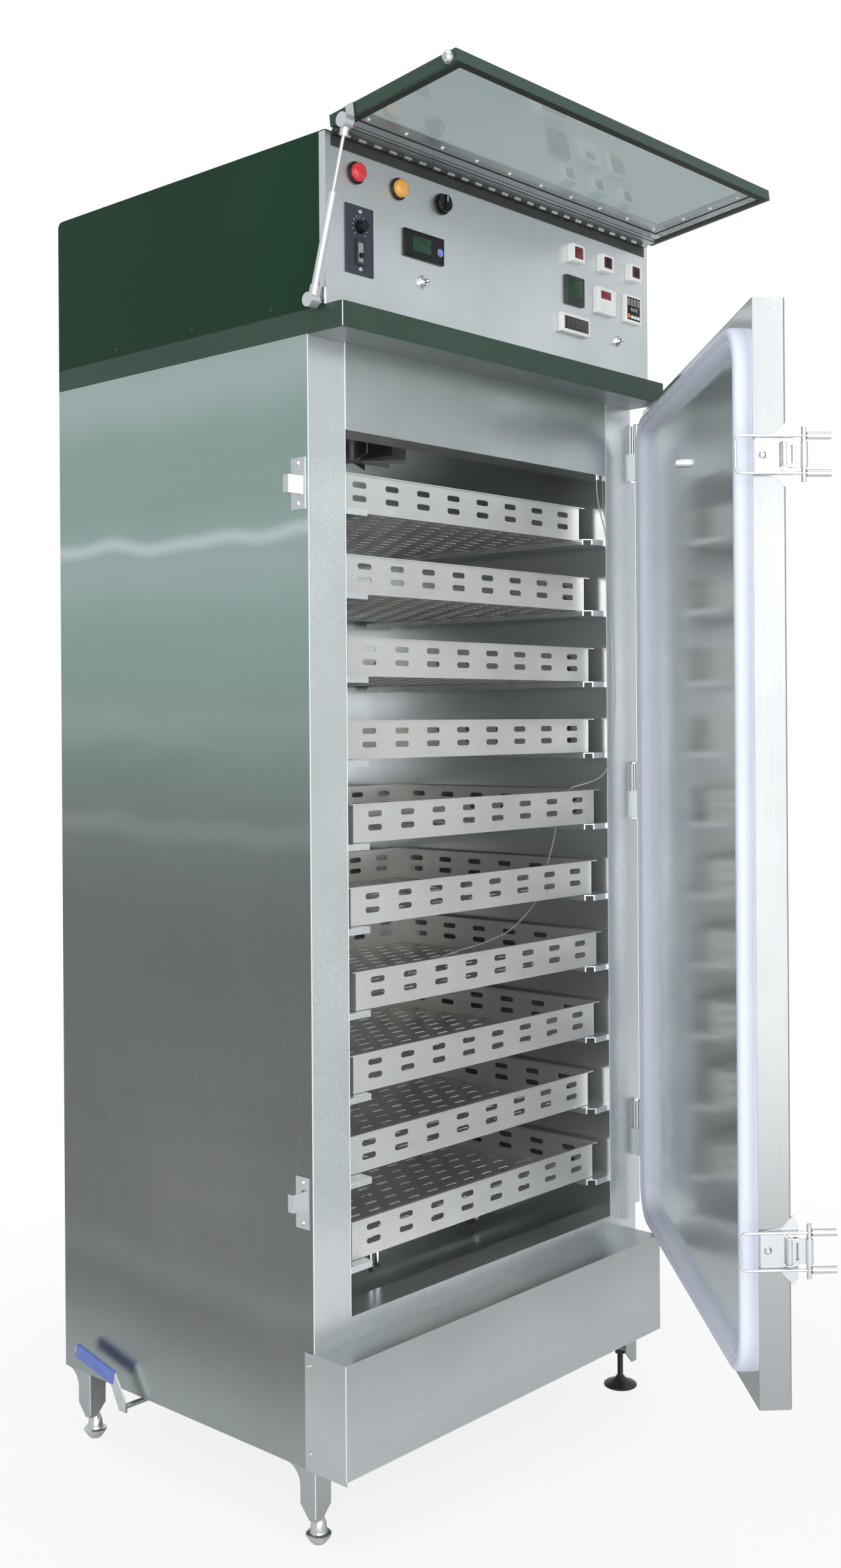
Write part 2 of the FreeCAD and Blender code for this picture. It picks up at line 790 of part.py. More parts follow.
casing = doc.addObject("PartDesign::Body", "head_casing")
drawing = draw(casing, "casing_profile", "YZ_Plane", f"-({half_width})")
outline(drawing, [
    ("body_depth", band_top), ("body_depth", "head_top - head_round"),
    ("body_depth - head_round", "head_top", "head_round"), ("-panel_setback", "head_top"),
    ("-panel_setback", "head_top - sheet_wall"), ("-panel_setback + panel_wrap", "head_top - sheet_wall"),
    ("-panel_setback + panel_wrap", band_top)])
extrude(casing, "Pad", "casing_block", drawing, "body_width")
drawing = draw(casing, "casing_hollow_profile", "YZ_Plane", f"-({body_inside})")
outline(drawing, [
    ("body_depth - sheet_wall", f"{band_top} - 1"), ("body_depth - sheet_wall", "head_top - head_round"),
    ("body_depth - head_round", "head_top - sheet_wall", "head_round - sheet_wall"),
    ("-panel_setback - 1", "head_top - sheet_wall"), ("-panel_setback - 1", f"{band_top} - 1")])
extrude(casing, "Pocket", "casing_hollow", drawing, "body_width - 2 * sheet_wall")
drawing = draw(casing, "gland_hole_outline", "XZ_Plane", "body_depth - 5")
circle(drawing, "gland_x", "gland_z", "gland_radius + pipe_clearance")
extrude(casing, "Pocket", "gland_hole", drawing, "10")
node("head_casing", casing)

# Panel units: a bezel on the panel's face and a housing that passes through a cutout

UNITS = ("speed_plate", "display", "thermostat", "white_unit", "timer", "meter")
housing_inset = "4"
face = "-panel_setback"
round_places = {"red_lamp": ("red_lamp_x", "red_lamp_z"), "yellow_lamp": ("yellow_lamp_x", "yellow_lamp_z"),
                "selector": ("selector_x", "selector_z")}
cutouts = []


def unit_bounds(name, margin):
    """Bounds of a unit's bezel, drawn in by a margin."""
    x, z = f"{name}_x", f"{band_top} + {name}_z"
    return ((f"{x} - {name}_width / 2 + {margin}", f"{x} + {name}_width / 2 - ({margin})"),
            (f"{z} - {name}_height / 2 + {margin}", f"{z} + {name}_height / 2 - ({margin})"))


def unit(name):
    """Bezel and housing of a rectangular unit."""
    wide, high = unit_bounds(name, "0")
    slim, low = unit_bounds(name, housing_inset)
    hole_x, hole_z = unit_bounds(name, f"{housing_inset} - pipe_clearance")
    cutouts.append(block(f"{name}_cutout", hole_x, (f"{face} - 1", f"{panel_back} + 1"), hole_z))
    return fuse(f"{name}_unit", block(f"{name}_bezel", wide, (f"{face} - {name}_reach", face), high),
                block(f"{name}_housing", slim, (f"{face} - {name}_reach / 2", f"{face} + panel_depth_behind"), low))


def round_barrel(name, x, z, radius):
    """Barrel of a round unit behind its bezel, with its cutout."""
    cutouts.append(rod(f"{name}_cutout", "y", (x, f"{face} - 1", z), "sheet_wall + 2", f"{radius} + pipe_clearance"))
    return rod(f"{name}_barrel", "y", (x, f"{face} - 1", z), "panel_depth_behind", radius)


def lamp(name):
    """Lamp with a domed lens."""
    x, z = round_places[name][0], f"{band_top} + {round_places[name][1]}"
    return fuse(
        f"{name}_unit",
        rod(f"{name}_bezel", "y", (x, f"{face} - round_bezel_reach", z), "round_bezel_reach", "round_bezel"),
        cone(f"{name}_lens", "y", (x, f"{face} - lens_reach", z), "lens_reach - 2", "lens_radius - 2.5",
             "lens_radius"),
        round_barrel(name, x, z, "round_barrel"))


def shaft_bore(name, x, z, radius, depth):
    """Blind bore from the front for a turning shaft."""
    return rod(name, "y", (x, f"{face} - 30", z), f"30 + {depth}", f"{radius} + pin_clearance")


selector_z = f"{band_top} + selector_z"
selector_unit = cut(
    "selector_unit",
    fuse("selector_solid",
         rod("selector_bezel", "y", ("selector_x", f"{face} - round_bezel_reach", selector_z),
             "round_bezel_reach", "round_bezel"),
         round_barrel("selector", "selector_x", selector_z, "round_barrel")),
    shaft_bore("selector_bore", "selector_x", selector_z, "hinge_pin", "20"))

speed_knob_level = f"{band_top} + speed_knob_z"
speed_switch_level = f"{band_top} + speed_switch_z"
speed_face = f"{face} - speed_plate_reach"
speed_unit = cut(
    "speed_unit", unit("speed_plate"),
    shaft_bore("speed_knob_bore", "speed_plate_x", speed_knob_level, "hinge_pin", "20"),
    block("speed_switch_slot", ("speed_plate_x - 3.3", "speed_plate_x + 3.3"), (f"{speed_face} - 1", f"{face} + 6"),
          (f"{speed_switch_level} - 8", f"{speed_switch_level} + 8")))

button_x = "display_x + display_width / 2 - 9"
button_z = f"{band_top} + display_z - 2"
display_unit = cut("display_unit", unit("display"),
                   shaft_bore("button_bore", button_x, button_z, "button_radius", "4"))


def rocker_place(place):
    """Side place of a rocker switch, counted from the left."""
    return f"rocker_first_x + {place - 1} * rocker_pitch"


rocker_level = f"{band_top} + rocker_z"
rocker_face = f"{face} - rocker_bezel_reach"
rocker_pivot = f"{rocker_face} + 3"


def rocker_bezel(place):
    """White bezel with a recess and pin bores for its rocker."""
    x = rocker_place(place)
    name = f"rocker_bezel_{place}"
    half_x, half_z = "rocker_bezel_width / 2", "rocker_bezel_height / 2"
    cutouts.append(block(f"{name}_cutout", (f"{x} - {half_x} + 3.7", f"{x} + {half_x} - 3.7"),
                         (f"{face} - 1", f"{panel_back} + 1"),
                         (f"{rocker_level} - {half_z} + 1.7", f"{rocker_level} + {half_z} - 1.7")))
    solid = fuse(
        f"{name}_solid",
        block(f"{name}_rim", (f"{x} - {half_x}", f"{x} + {half_x}"), (rocker_face, face),
              (f"{rocker_level} - {half_z}", f"{rocker_level} + {half_z}")),
        block(f"{name}_housing", (f"{x} - {half_x} + 4", f"{x} + {half_x} - 4"), (f"{face} - 2", f"{face} + 24"),
              (f"{rocker_level} - {half_z} + 2", f"{rocker_level} + {half_z} - 2")))
    recess = block(f"{name}_recess", (f"{x} - rocker_width / 2 - rocker_play", f"{x} + rocker_width / 2 + rocker_play"),
                   (f"{rocker_face} - 1", f"{rocker_pivot} + rocker_half - 1.5"),
                   (f"{rocker_level} - rocker_half - 1.2", f"{rocker_level} + rocker_half + 1.2"))
    bore = rod(f"{name}_bore", "x", (f"{x} - rocker_width / 2 - 2.5", rocker_pivot, rocker_level), "rocker_width + 5",
               "1 + pin_clearance")
    return cut(name, solid, recess, bore)


TOGGLES = (("toggle_1", "toggle_first_x", "toggle_first_z"), ("toggle_2", "toggle_second_x", "toggle_second_z"))
toggle_centre = f"{face} - 4"


def toggle_bush(name, x, level):
    """Bush and nut of a toggle switch, with a ball seat."""
    z = f"{band_top} + {level}"
    solid = fuse(
        f"{name}_bush_solid",
        rod(f"{name}_bush_front", "y", (x, f"{face} - 7", z), "7", "toggle_bush"),
        rod(f"{name}_nut", "y", (x, f"{face} - 3", z), "3", "toggle_bush + 3"),
        round_barrel(f"{name}_bush", x, z, "toggle_bush"))
    mouth = rod(f"{name}_mouth", "y", (x, f"{face} - 8", z), "4", "toggle_ball + pin_clearance")
    bore = rod(f"{name}_pin_bore", "x", (f"{x} - toggle_bush + 0.8", toggle_centre, z), "2 * toggle_bush - 1.6",
               "toggle_pin + pin_clearance")
    return cut(f"{name}_bush", solid, mouth, bore,
               ball(f"{name}_seat", (x, toggle_centre, z), "toggle_ball + pin_clearance"))


instruments = [
    lamp("red_lamp"), lamp("yellow_lamp"), selector_unit, speed_unit, display_unit,
    unit("thermostat"), unit("white_unit"), unit("timer"), unit("meter"),
    *[rocker_bezel(place) for place in (1, 2, 3)], *[toggle_bush(*entry) for entry in TOGGLES]]
node("panel_instruments", group("panel_instruments", *instruments))

panel_top = "head_top - sheet_wall"
node("control_panel", cut(
    "control_panel",
    fuse("panel_sheet",
         block("panel_face", both(half_width), (face, panel_back), (band_top, panel_top)),
         block("panel_left_wrap", (f"-({half_width})", f"-({body_inside})"), (face, f"{face} + panel_wrap"),
               (band_top, panel_top)),
         block("panel_right_wrap", (body_inside, half_width), (face, f"{face} + panel_wrap"), (band_top, panel_top))),
    *cutouts))

# Knobs, switches and the display's button

node("selector_knob", fuse(
    "selector_knob",
    rod("selector_disc", "y", ("selector_x", f"{face} - round_bezel_reach - 7", selector_z), "6.6", "knob_radius"),
    block("selector_bar", ("selector_x - 3", "selector_x + 3"),
          (f"{face} - knob_reach", f"{face} - round_bezel_reach - 1"),
          (f"{selector_z} - knob_radius + 1", f"{selector_z} + knob_radius - 1")),
    rod("selector_shaft", "y", ("selector_x", f"{face} - round_bezel_reach - 2", selector_z), "20", "hinge_pin")))
node("speed_knob", fuse(
    "speed_knob",
    cone("speed_knob_grip", "y", ("speed_plate_x", f"{face} - knob_reach", speed_knob_level),
         "knob_reach - speed_plate_reach - 0.4", "speed_knob_radius - 2", "speed_knob_radius"),
    rod("speed_knob_shaft", "y", ("speed_plate_x", f"{speed_face} - 3", speed_knob_level), "20", "hinge_pin")))
node("speed_switch", block(
    "speed_switch", ("speed_plate_x - 3", "speed_plate_x + 3"), (f"{speed_face} - 5", f"{face} + 5.7"),
    (f"{speed_switch_level} - 7.7", f"{speed_switch_level} - 1.7")))
node("display_button", rod(
    "display_button", "y", (button_x, f"{face} - display_reach - 1.5", button_z), "display_reach + 3.5",
    "button_radius"))

for place in (1, 2, 3):
    name = f"rocker_{place}"
    x = rocker_place(place)
    paddle = doc.addObject("PartDesign::Body", f"{name}_paddle")
    drawing = draw(paddle, f"{name}_profile", "YZ_Plane", "-(rocker_width / 2)")
    outline(drawing, [
        ("-4", "-rocker_half"), ("4", "-rocker_half"), ("4", "rocker_half"), ("-4", "rocker_half"), ("-2.4", "0")])
    extrude(paddle, "Pad", f"{name}_block", drawing, "rocker_width")
    rocker = fuse(name, paddle, rod(f"{name}_pin", "x", ("-(rocker_width / 2) - 2.2", "0", "0"),
                                    "rocker_width + 4.4", "1"))
    seat(rocker, x, rocker_pivot, rocker_level)
    node(name, rocker)

for name, x, level in TOGGLES:
    z = f"{band_top} + {level}"
    node(name, fuse(
        name, ball(f"{name}_ball", (x, toggle_centre, z), "toggle_ball"),
        rod(f"{name}_pin", "x", (f"{x} - toggle_bush + 1.1", toggle_centre, z), "2 * toggle_bush - 2.2", "toggle_pin"),
        cone(f"{name}_bat", "y", (x, f"{toggle_centre} - toggle_length", z), "toggle_length", "2.4", "1.3"),
        ball(f"{name}_tip", (x, f"{toggle_centre} - toggle_length + 0.4", z), "2.44")))

# Door: everything is modelled about the hinge axis in the closed position, then turned open

door_outer = "-(gasket_height + seal_gap - hinge_forward) - door_thickness"
door_inner = "-(gasket_height + seal_gap - hinge_forward)"
door_free = "-(door_heel) - door_width"
door_low = "apron_top + door_sill_gap"
door_high = "body_top - door_head_gap"


def hang(piece):
    """Turn a door piece open about the hinge axis."""
    piece.Placement = Placement(Vector(), Rotation(Vector(0, 0, 1), 1))
    seat(piece, f"{half_width} + hinge_sideways", "-hinge_forward", "0")
    piece.setExpression("Placement.Rotation.Angle", bind("door_open"))
    return piece


skin = doc.addObject("PartDesign::Body", "door_skin")
drawing = draw(skin, "door_outline", "XZ_Plane", door_outer)
rectangle(drawing, (door_free, "-door_heel"), (door_low, door_high))
extrude(skin, "Pad", "door_block", drawing, "door_thickness")
doc.recompute()
front_y = value(door_outer)
edges = [f"Edge{number}" for number, edge in enumerate(skin.Shape.Edges, 1)
         if abs(edge.BoundBox.YMin - front_y) < 0.01 and abs(edge.BoundBox.YMax - front_y) < 0.01]
rounding = skin.newObject("PartDesign::Fillet", "door_rounding")
rounding.Base = (skin.Group[-2], edges)
rounding.setExpression("Radius", bind("door_round"))
drawing = draw(skin, "door_hollow_outline", "XZ_Plane", f"{door_outer} + sheet_wall")
rectangle(drawing, (f"{door_free} + sheet_wall", "-door_heel - sheet_wall"),
          (f"{door_low} + sheet_wall", f"{door_high} - sheet_wall"))
extrude(skin, "Pocket", "door_hollow", drawing, "door_thickness")
node("door_skin", hang(skin))

inner_x = (f"{door_free} + sheet_wall", "-door_heel - sheet_wall")
inner_z = (f"{door_low} + sheet_wall", f"{door_high} - sheet_wall")
node("door_liner", hang(fuse(
    "door_liner", block("door_liner_sheet", inner_x, (f"{door_inner} - sheet_wall", door_inner), inner_z),
    rod("door_vent", "y", ("-vent_from_axis", f"{door_inner} - sheet_wall", "vent_level"), "vent_length",
        "vent_radius"))))
node("door_foam", hang(group("door_foam", block(
    "door_foam_block", (f"{inner_x[0]} + foam_gap", f"{inner_x[1]} - foam_gap"),
    (f"{door_outer} + sheet_wall + foam_gap", f"{door_inner} - sheet_wall - foam_gap"),
    (f"{inner_z[0]} + foam_gap", f"{inner_z[1]} - foam_gap")))))

gasket = doc.addObject("PartDesign::Body", "door_gasket")
drawing = draw(gasket, "gasket_outline", "XZ_Plane", door_inner)
rectangle(drawing, (f"{door_free} + gasket_inset", "-door_heel - gasket_inset"),
          (f"{door_low} + gasket_inset", f"{door_high} - gasket_inset"), "gasket_round")
step = "gasket_inset + gasket_width"
rectangle(drawing, (f"{door_free} + {step}", f"-door_heel - ({step})"),
          (f"{door_low} + {step}", f"{door_high} - ({step})"), "(gasket_round - gasket_width)")
extrude(gasket, "Pad", "gasket_block", drawing, "gasket_height")
doc.recompute()
crown_y = value(f"{door_inner} + gasket_height")
edges = [f"Edge{number}" for number, edge in enumerate(gasket.Shape.Edges, 1)
         if abs(edge.BoundBox.YMin - crown_y) < 0.01]
crown = gasket.newObject("PartDesign::Fillet", "gasket_crown_rounding")
crown.Base = (gasket.Group[-2], edges)
crown.setExpression("Radius", bind("gasket_crown"))
node("door_gasket", hang(gasket))

# Door hinges: fixed leaf with the lower knuckle, moving leaf with the upper one, pin with a head


def knuckle(name, x, y, level, length, bore):
    """Hinge knuckle and its bore along the height."""
    return (rod(f"{name}_knuckle", "z", (x, y, level), length, "hinge_knuckle"),
            rod(f"{name}_bore", "z", (x, y, f"{level} - 1"), f"{length} + 2", bore))


axis_x, axis_y = f"{half_width} + hinge_sideways", "-hinge_forward"
knuckle_length = "hinge_height / 2 - hinge_gap"
fixed_leaves = []
moving_leaves = []
for place in range(3):
    low = f"hinge_low + {place} * hinge_pitch"
    middle = f"{low} + hinge_height / 2"
    bore = "hinge_pin + pin_clearance"
    barrel, hole = knuckle(f"fixed_{place}", axis_x, axis_y, low, knuckle_length, bore)
    plate = block(f"fixed_leaf_{place}", (half_width, f"{half_width} + hinge_leaf"), (f"{axis_y} + 7", "hinge_reach"),
                  (low, f"{low} + hinge_height"))
    bridge = block(f"fixed_bridge_{place}", (half_width, f"{half_width} + hinge_leaf"), (axis_y, f"{axis_y} + 8"),
                   (low, f"{low} + {knuckle_length}"))
    fixed_leaves.append(cut(f"fixed_hinge_{place}", fuse(f"fixed_solid_{place}", barrel, plate, bridge), hole))
    fixed_leaves.append(fuse(
        f"hinge_pin_{place}", rod(f"pin_shank_{place}", "z", (axis_x, axis_y, low), "hinge_height + 1", "hinge_pin"),
        rod(f"pin_head_{place}", "z", (axis_x, axis_y, f"{low} + hinge_height + hinge_gap"), "3",
            "hinge_knuckle - 1")))
    barrel, hole = knuckle(f"moving_{place}", "0", "0", f"{middle} + hinge_gap", knuckle_length, bore)
    plate = block(f"moving_leaf_{place}", ("-door_heel", "-door_heel + hinge_leaf"), (f"{door_outer} + 4", "-7"),
                  (low, f"{low} + hinge_height"))
    bridge = block(f"moving_bridge_{place}", ("-door_heel", "-door_heel + hinge_leaf"), ("-8", "0"),
                   (f"{middle} + hinge_gap", f"{low} + hinge_height"))
    moving_leaves.append(cut(f"moving_hinge_{place}", fuse(f"moving_solid_{place}", barrel, plate, bridge), hole))
node("door_hinge_leaves", group("door_hinge_leaves", *fixed_leaves))
node("door_hinge_arms", hang(group("door_hinge_arms", *moving_leaves)))

# Latches on the door's free edge: base plate with ears and pin, lever, wire bail with tube nuts

pivot_x = f"{door_free} - latch_pivot_out"
pivot_y = f"{door_outer} + latch_pivot_inset"
barrel_y = f"{pivot_y} - lever_reach"
bail_x = pivot_x
loop_y = f"{door_inner} + bail_loop - bail_wire"
bases = []
for word, level in (("upper", "latch_high"), ("lower", "latch_low")):
    plate = doc.addObject("PartDesign::Body", f"latch_plate_{word}")
    drawing = draw(plate, f"latch_outline_{word}", "YZ_Plane", f"{door_free} - latch_plate")
    front, wing = f"{door_inner} - 2", f"{door_outer} - latch_overhang"
    outline(drawing, [
        (front, f"{level} - 22"), (front, f"{level} + 22"), (f"{front} - 25", f"{level} + 26"),
        (f"{wing} + 6", f"{level} + latch_wing"), (wing, f"{level} + latch_wing - 8"),
        (wing, f"{level} - latch_wing + 8"), (f"{wing} + 6", f"{level} - latch_wing"),
        (f"{front} - 25", f"{level} - 26")])
    extrude(plate, "Pad", f"latch_blank_{word}", drawing, "latch_plate")
    ears = [
        block(f"latch_ear_{word}_{side}", (f"{pivot_x} - 4", f"{door_free} - latch_plate / 2"),
              (f"{pivot_y} - 4", f"{pivot_y} + 4"), (f"{level} + {low}", f"{level} + {low} + 2"))
        for side, low in (("top", "(lever_width / 2 + 0.3)"), ("bottom", "(-lever_width / 2 - 2.3)"))]
    pin = rod(f"latch_pin_{word}", "z", (pivot_x, pivot_y, f"{level} - lever_width / 2 - 3"), "lever_width + 6",
              "latch_pin")
    bases.append(fuse(f"latch_base_{word}", plate, *ears, pin))
    bases.append(cone(f"latch_screw_{word}", "x", (f"{door_free} - latch_plate - 2.4", f"{front} - 9", level), "2.4",
                      "2.5", "5"))

    name = f"latch_lever_{word}"
    half = "lever_width / 2"
    sheet_x = (f"{pivot_x} - lever_sheet / 2", f"{pivot_x} + lever_sheet / 2")
    solid = fuse(
        f"{name}_solid",
        rod(f"{name}_knuckle", "z", (pivot_x, pivot_y, f"{level} - {half}"), "lever_width", "latch_knuckle"),
        block(f"{name}_sheet", sheet_x, (barrel_y, pivot_y), (f"{level} - {half}", f"{level} + {half}")),
        rod(f"{name}_curl", "z", (pivot_x, barrel_y, f"{level} - {half}"), "lever_width", "curl_radius"))
    window = block(f"{name}_window", (f"{pivot_x} - 4", f"{pivot_x} + 4"), (f"{pivot_y} - 11", f"{pivot_y} - 7"),
                   (f"{level} - {half} + 4", f"{level} + {half} - 4"))
    bores = [rod(f"{name}_bore_{end}", "z", (pivot_x, y, f"{level} - {half} - 1"), "lever_width + 2",
                 f"{radius} + pin_clearance")
             for end, y, radius in (("base", pivot_y, "latch_pin"), ("bail", barrel_y, "barrel_radius"))]
    node(name, hang(cut(name, solid, window, *bores)))

    name = f"latch_bail_{word}"
    leg_start = f"{barrel_y} - barrel_radius - bail_thread"
    leg_end = f"{loop_y} - bail_corner"
    half_spread = "(bail_spread / 2)"
    pieces = [rod(f"{name}_barrel", "z", (bail_x, barrel_y, f"{level} - barrel_length / 2"), "barrel_length",
                  "barrel_radius"),
              rod(f"{name}_end", "z", (bail_x, loop_y, f"{level} - {half_spread} + bail_corner"),
                  "bail_spread - 2 * bail_corner", "bail_wire")]
    nuts = []
    for side, sign, start in (("top", "+", 0), ("bottom", "-", -90)):
        z = f"{level} {sign} {half_spread}"
        centre_z = f"{level} {sign} ({half_spread} - bail_corner)"
        pieces.append(rod(f"{name}_leg_{side}", "y", (bail_x, leg_start, z), f"{leg_end} - ({leg_start})",
                          "bail_wire"))
        bend = doc.addObject("Part::Torus", f"{name}_bend_{side}")
        bend.setExpression("Radius1", bind("bail_corner"))
        bend.setExpression("Radius2", bind("bail_wire"))
        bend.Angle3 = 90
        bend.Placement = Placement(Vector(), Rotation(Vector(1, 1, 1), 120) * Rotation(Vector(0, 0, 1), start))
        seat(bend, bail_x, leg_end, centre_z)
        pieces.append(bend)
        nut_end = f"{leg_start} - 10"
        nuts.append(cut(
            f"{name}_nut_{side}",
            rod(f"{name}_tube_{side}", "y", (bail_x, nut_end, z), f"{barrel_y} - barrel_radius - 0.2 - ({nut_end})",
                "bail_nut_radius"),
            rod(f"{name}_thread_{side}", "y", (bail_x, f"{leg_start} - 0.2", z), "bail_thread + 10",
                "bail_wire + pin_clearance")))
    node(name, hang(group(name, fuse(f"{name}_wire", *pieces), *nuts)))
node("latch_bases", hang(group("latch_bases", *bases)))

# Strikes on the body's left side

strikes = []
for word, level in (("upper", "latch_high"), ("lower", "latch_low")):
    left = f"-({half_width})"
    middle = "strike_front + strike_width / 2"
    upstand = f"{middle} + 4"
    hook_z = (f"{level} - strike_hook_height / 2", f"{level} + strike_hook_height / 2")
    strikes.append(fuse(
        f"strike_{word}",
        block(f"strike_plate_{word}", (f"{left} - sheet_wall", left), ("strike_front", "strike_front + strike_width"),
              (f"{level} - strike_height / 2", f"{level} + strike_height / 2")),
        block(f"strike_upstand_{word}", (f"{left} - strike_reach", left), (upstand, f"{upstand} + 2"), hook_z),
        block(f"strike_hook_{word}", (f"{left} - strike_reach", f"{left} - strike_reach + 2"),
              (upstand, f"{upstand} + strike_lip"), hook_z)))
    for side, sign in (("top", "+"), ("bottom", "-")):
        strikes.append(cone(f"strike_screw_{word}_{side}", "x",
                            (f"{left} - sheet_wall - 2.5", middle, f"{level} {sign} strike_screw_pitch / 2"), "2.5",
                            "strike_screw / 2", "strike_screw"))
node("strikes", group("strikes", *strikes))

# Lid: modelled about its hinge axis in the closed position, then turned open

lid_axis_y = "-panel_setback - lid_gap"
lid_axis_z = "head_top - lid_drop"


def lift(piece):
    """Turn a lid piece open about the lid's hinge axis."""
    piece.Placement = Placement(Vector(), Rotation(Vector(-1, 0, 0), 1))
    seat(piece, "0", lid_axis_y, lid_axis_z)
    piece.setExpression("Placement.Rotation.Angle", bind("lid_open"))
    return piece


def lid_window(name, y, grow):
    """Block over the lid's window, grown by a margin on every side."""
    return block(name, both(f"{half_width} - lid_border_side + {grow}"), y,
                 (f"-lid_height + lid_border_free - ({grow})", f"-lid_border_hinge + {grow}"))


lid_z = ("-lid_height", "-lid_top_margin")
lid_hollow_z = ("-lid_height + sheet_wall", "-lid_top_margin - sheet_wall")
node("lid_frame", lift(cut(
    "lid_frame",
    block("lid_blank", both(half_width), ("-lid_thickness", "0"), lid_z),
    block("lid_hollow", both(body_inside), ("-lid_thickness + sheet_wall", "-sheet_wall"), lid_hollow_z),
    lid_window("lid_inner_window", ("-sheet_wall - 1", "1"), "0"),
    block("lid_outer_window", both(f"{half_width} - lid_outer_border"), ("-lid_thickness - 1", "-lid_thickness + 3"),
          ("-lid_height + lid_outer_border", "-lid_top_margin - lid_outer_border")))))
glass_front = "-lid_thickness + sheet_wall"
glass_back = f"{glass_front} + glass_thickness"
seal_back = f"{glass_back} + glass_seal"
glass_side = both("body_width / 2 - 2 * sheet_wall")
glass_z = ("-lid_height + 2 * sheet_wall", "-lid_top_margin - 2 * sheet_wall")
node("lid_glass", lift(group("lid_glass", block("glass_pane", glass_side, (glass_front, glass_back), glass_z))))
node("lid_seal", lift(cut(
    "lid_seal", block("lid_seal_blank", glass_side, (glass_back, seal_back), glass_z),
    lid_window("lid_seal_window", (f"{glass_back} - 1", f"{seal_back} + 1"), "(-seal_cover)"))))

segment = "lid_hinge_segment"
hinge_half = f"lid_hinge_segments * {segment} / 2"
hinge_start = f"-({hinge_half})"


def hinge_side(name, first, leaf, web):
    """Leaf with every second knuckle of the piano hinge, drawn about the axis."""
    pieces = [leaf]
    for place in range(first, SIZES["lid_hinge_segments"], 2):
        x = f"{hinge_start} + {place} * {segment} + 0.2"
        pieces.append(rod(f"{name}_knuckle_{place}", "x", (x, "0", "0"), f"{segment} - 0.4", "lid_hinge_knuckle"))
        pieces.append(block(f"{name}_web_{place}", (x, f"{x} + {segment} - 0.4"), *web))
    bore = rod(f"{name}_bore", "x", (f"{hinge_start} - 1", "0", "0"), f"2 * {hinge_half} + 2",
               "lid_hinge_pin + pin_clearance")
    return cut(name, fuse(f"{name}_solid", *pieces), bore)


hinge_x = (hinge_start, hinge_half)
wall_y = ("lid_gap - lid_hinge_leaf", "lid_gap")
fixed_leaf = hinge_side(
    "fixed_piano_leaf", 0, block("fixed_piano_plate", hinge_x, wall_y, ("-lid_hinge_reach", "-0.5")),
    (("lid_hinge_knuckle - 1.5", "lid_gap - lid_hinge_leaf / 2"), ("-2.8", "-1")))
piano_pin = rod("piano_pin", "x", (hinge_start, "0", "0"), f"2 * {hinge_half}", "lid_hinge_pin")
panel_hinge = group("panel_hinge", fixed_leaf, piano_pin)
seat(panel_hinge, "0", lid_axis_y, lid_axis_z)
node("panel_hinge", panel_hinge)

moving_leaf = hinge_side(
    "moving_piano_leaf", 1,
    block("moving_piano_plate", hinge_x, ("0", "lid_hinge_leaf"), ("-lid_hinge_reach", "-lid_hinge_knuckle - 0.8")),
    (("0", "lid_hinge_leaf"), ("-lid_hinge_knuckle - 1.5", "-1")))
trim_ring = cut(
    "trim_ring",
    lid_window("trim_blank", (seal_back, "-sheet_wall"), "sheet_wall"),
    lid_window("trim_bore", (f"{seal_back} + sheet_wall", "0"), "0"),
    lid_window("trim_window", (f"{seal_back} - 1", "0"), "(-trim_cover)"))
node("lid_trim", lift(group("lid_trim", trim_ring, moving_leaf)))

# Lid fittings: strut arm on the left side of the lid and a dome near the free corner

knob_y, knob_z = "-lid_thickness / 2", "-lid_height + 12"
dome = ball("lid_dome", (f"-({half_width}) - 2", knob_y, knob_z), "lid_knob_radius")
dome.Angle1 = 0
dome.Placement = Placement(Vector(), Rotation(Vector(0, 1, 0), -90))
arm_x = (f"-({half_width}) - 3.5", f"-({half_width}) - 1")
node("lid_fittings", lift(group(
    "lid_fittings",
    fuse("strut_arm",
         block("arm_plate", arm_x, ("-lid_thickness + 1", "strut_arm_back + 6"), ("-strut_arm_down - 7", "-strut_arm_down + 7")),
         block("arm_spacer", (f"-({half_width}) - 2", f"-({half_width})"), ("-lid_thickness + 2", "-5"),
               ("-strut_arm_down - 6", "-strut_arm_down + 6")),
         rod("arm_pin", "x", (f"-({half_width}) - strut_out + stud_radius + 3.5", "strut_arm_back",
                              "-strut_arm_down"), "strut_out - stud_radius - 5", "stud_radius")),
    fuse("lid_knob",
         dome,
         rod("knob_base", "x", (f"-({half_width}) - 2", knob_y, knob_z), "2", "lid_knob_radius + 0.4")))))

# Gas strut: modelled upright from its lower ball, then leaned to the lid's arm

strut_x = f"-({half_width}) - strut_out"
arm_y = f"({lid_axis_y}) + strut_arm_back * cos(lid_open) - strut_arm_down * sin(lid_open)"
arm_z = f"({lid_axis_z}) - strut_arm_back * sin(lid_open) - strut_arm_down * cos(lid_open)"
lean_y = f"({arm_y}) - (strut_low_back)"
lean_z = f"({arm_z}) - strut_low_level"
strut_length = f"sqrt(({lean_y}) ^ 2 + ({lean_z}) ^ 2)"


def lean(piece):
    """Lean a strut piece from its lower ball towards the lid's arm."""
    piece.Placement = Placement(Vector(), Rotation(Vector(1, 0, 0), 1))
    seat(piece, strut_x, "strut_low_back", "strut_low_level")
    piece.setExpression("Placement.Rotation.Angle", bind(f"-atan(({lean_y}) / ({lean_z}))"))
    return piece


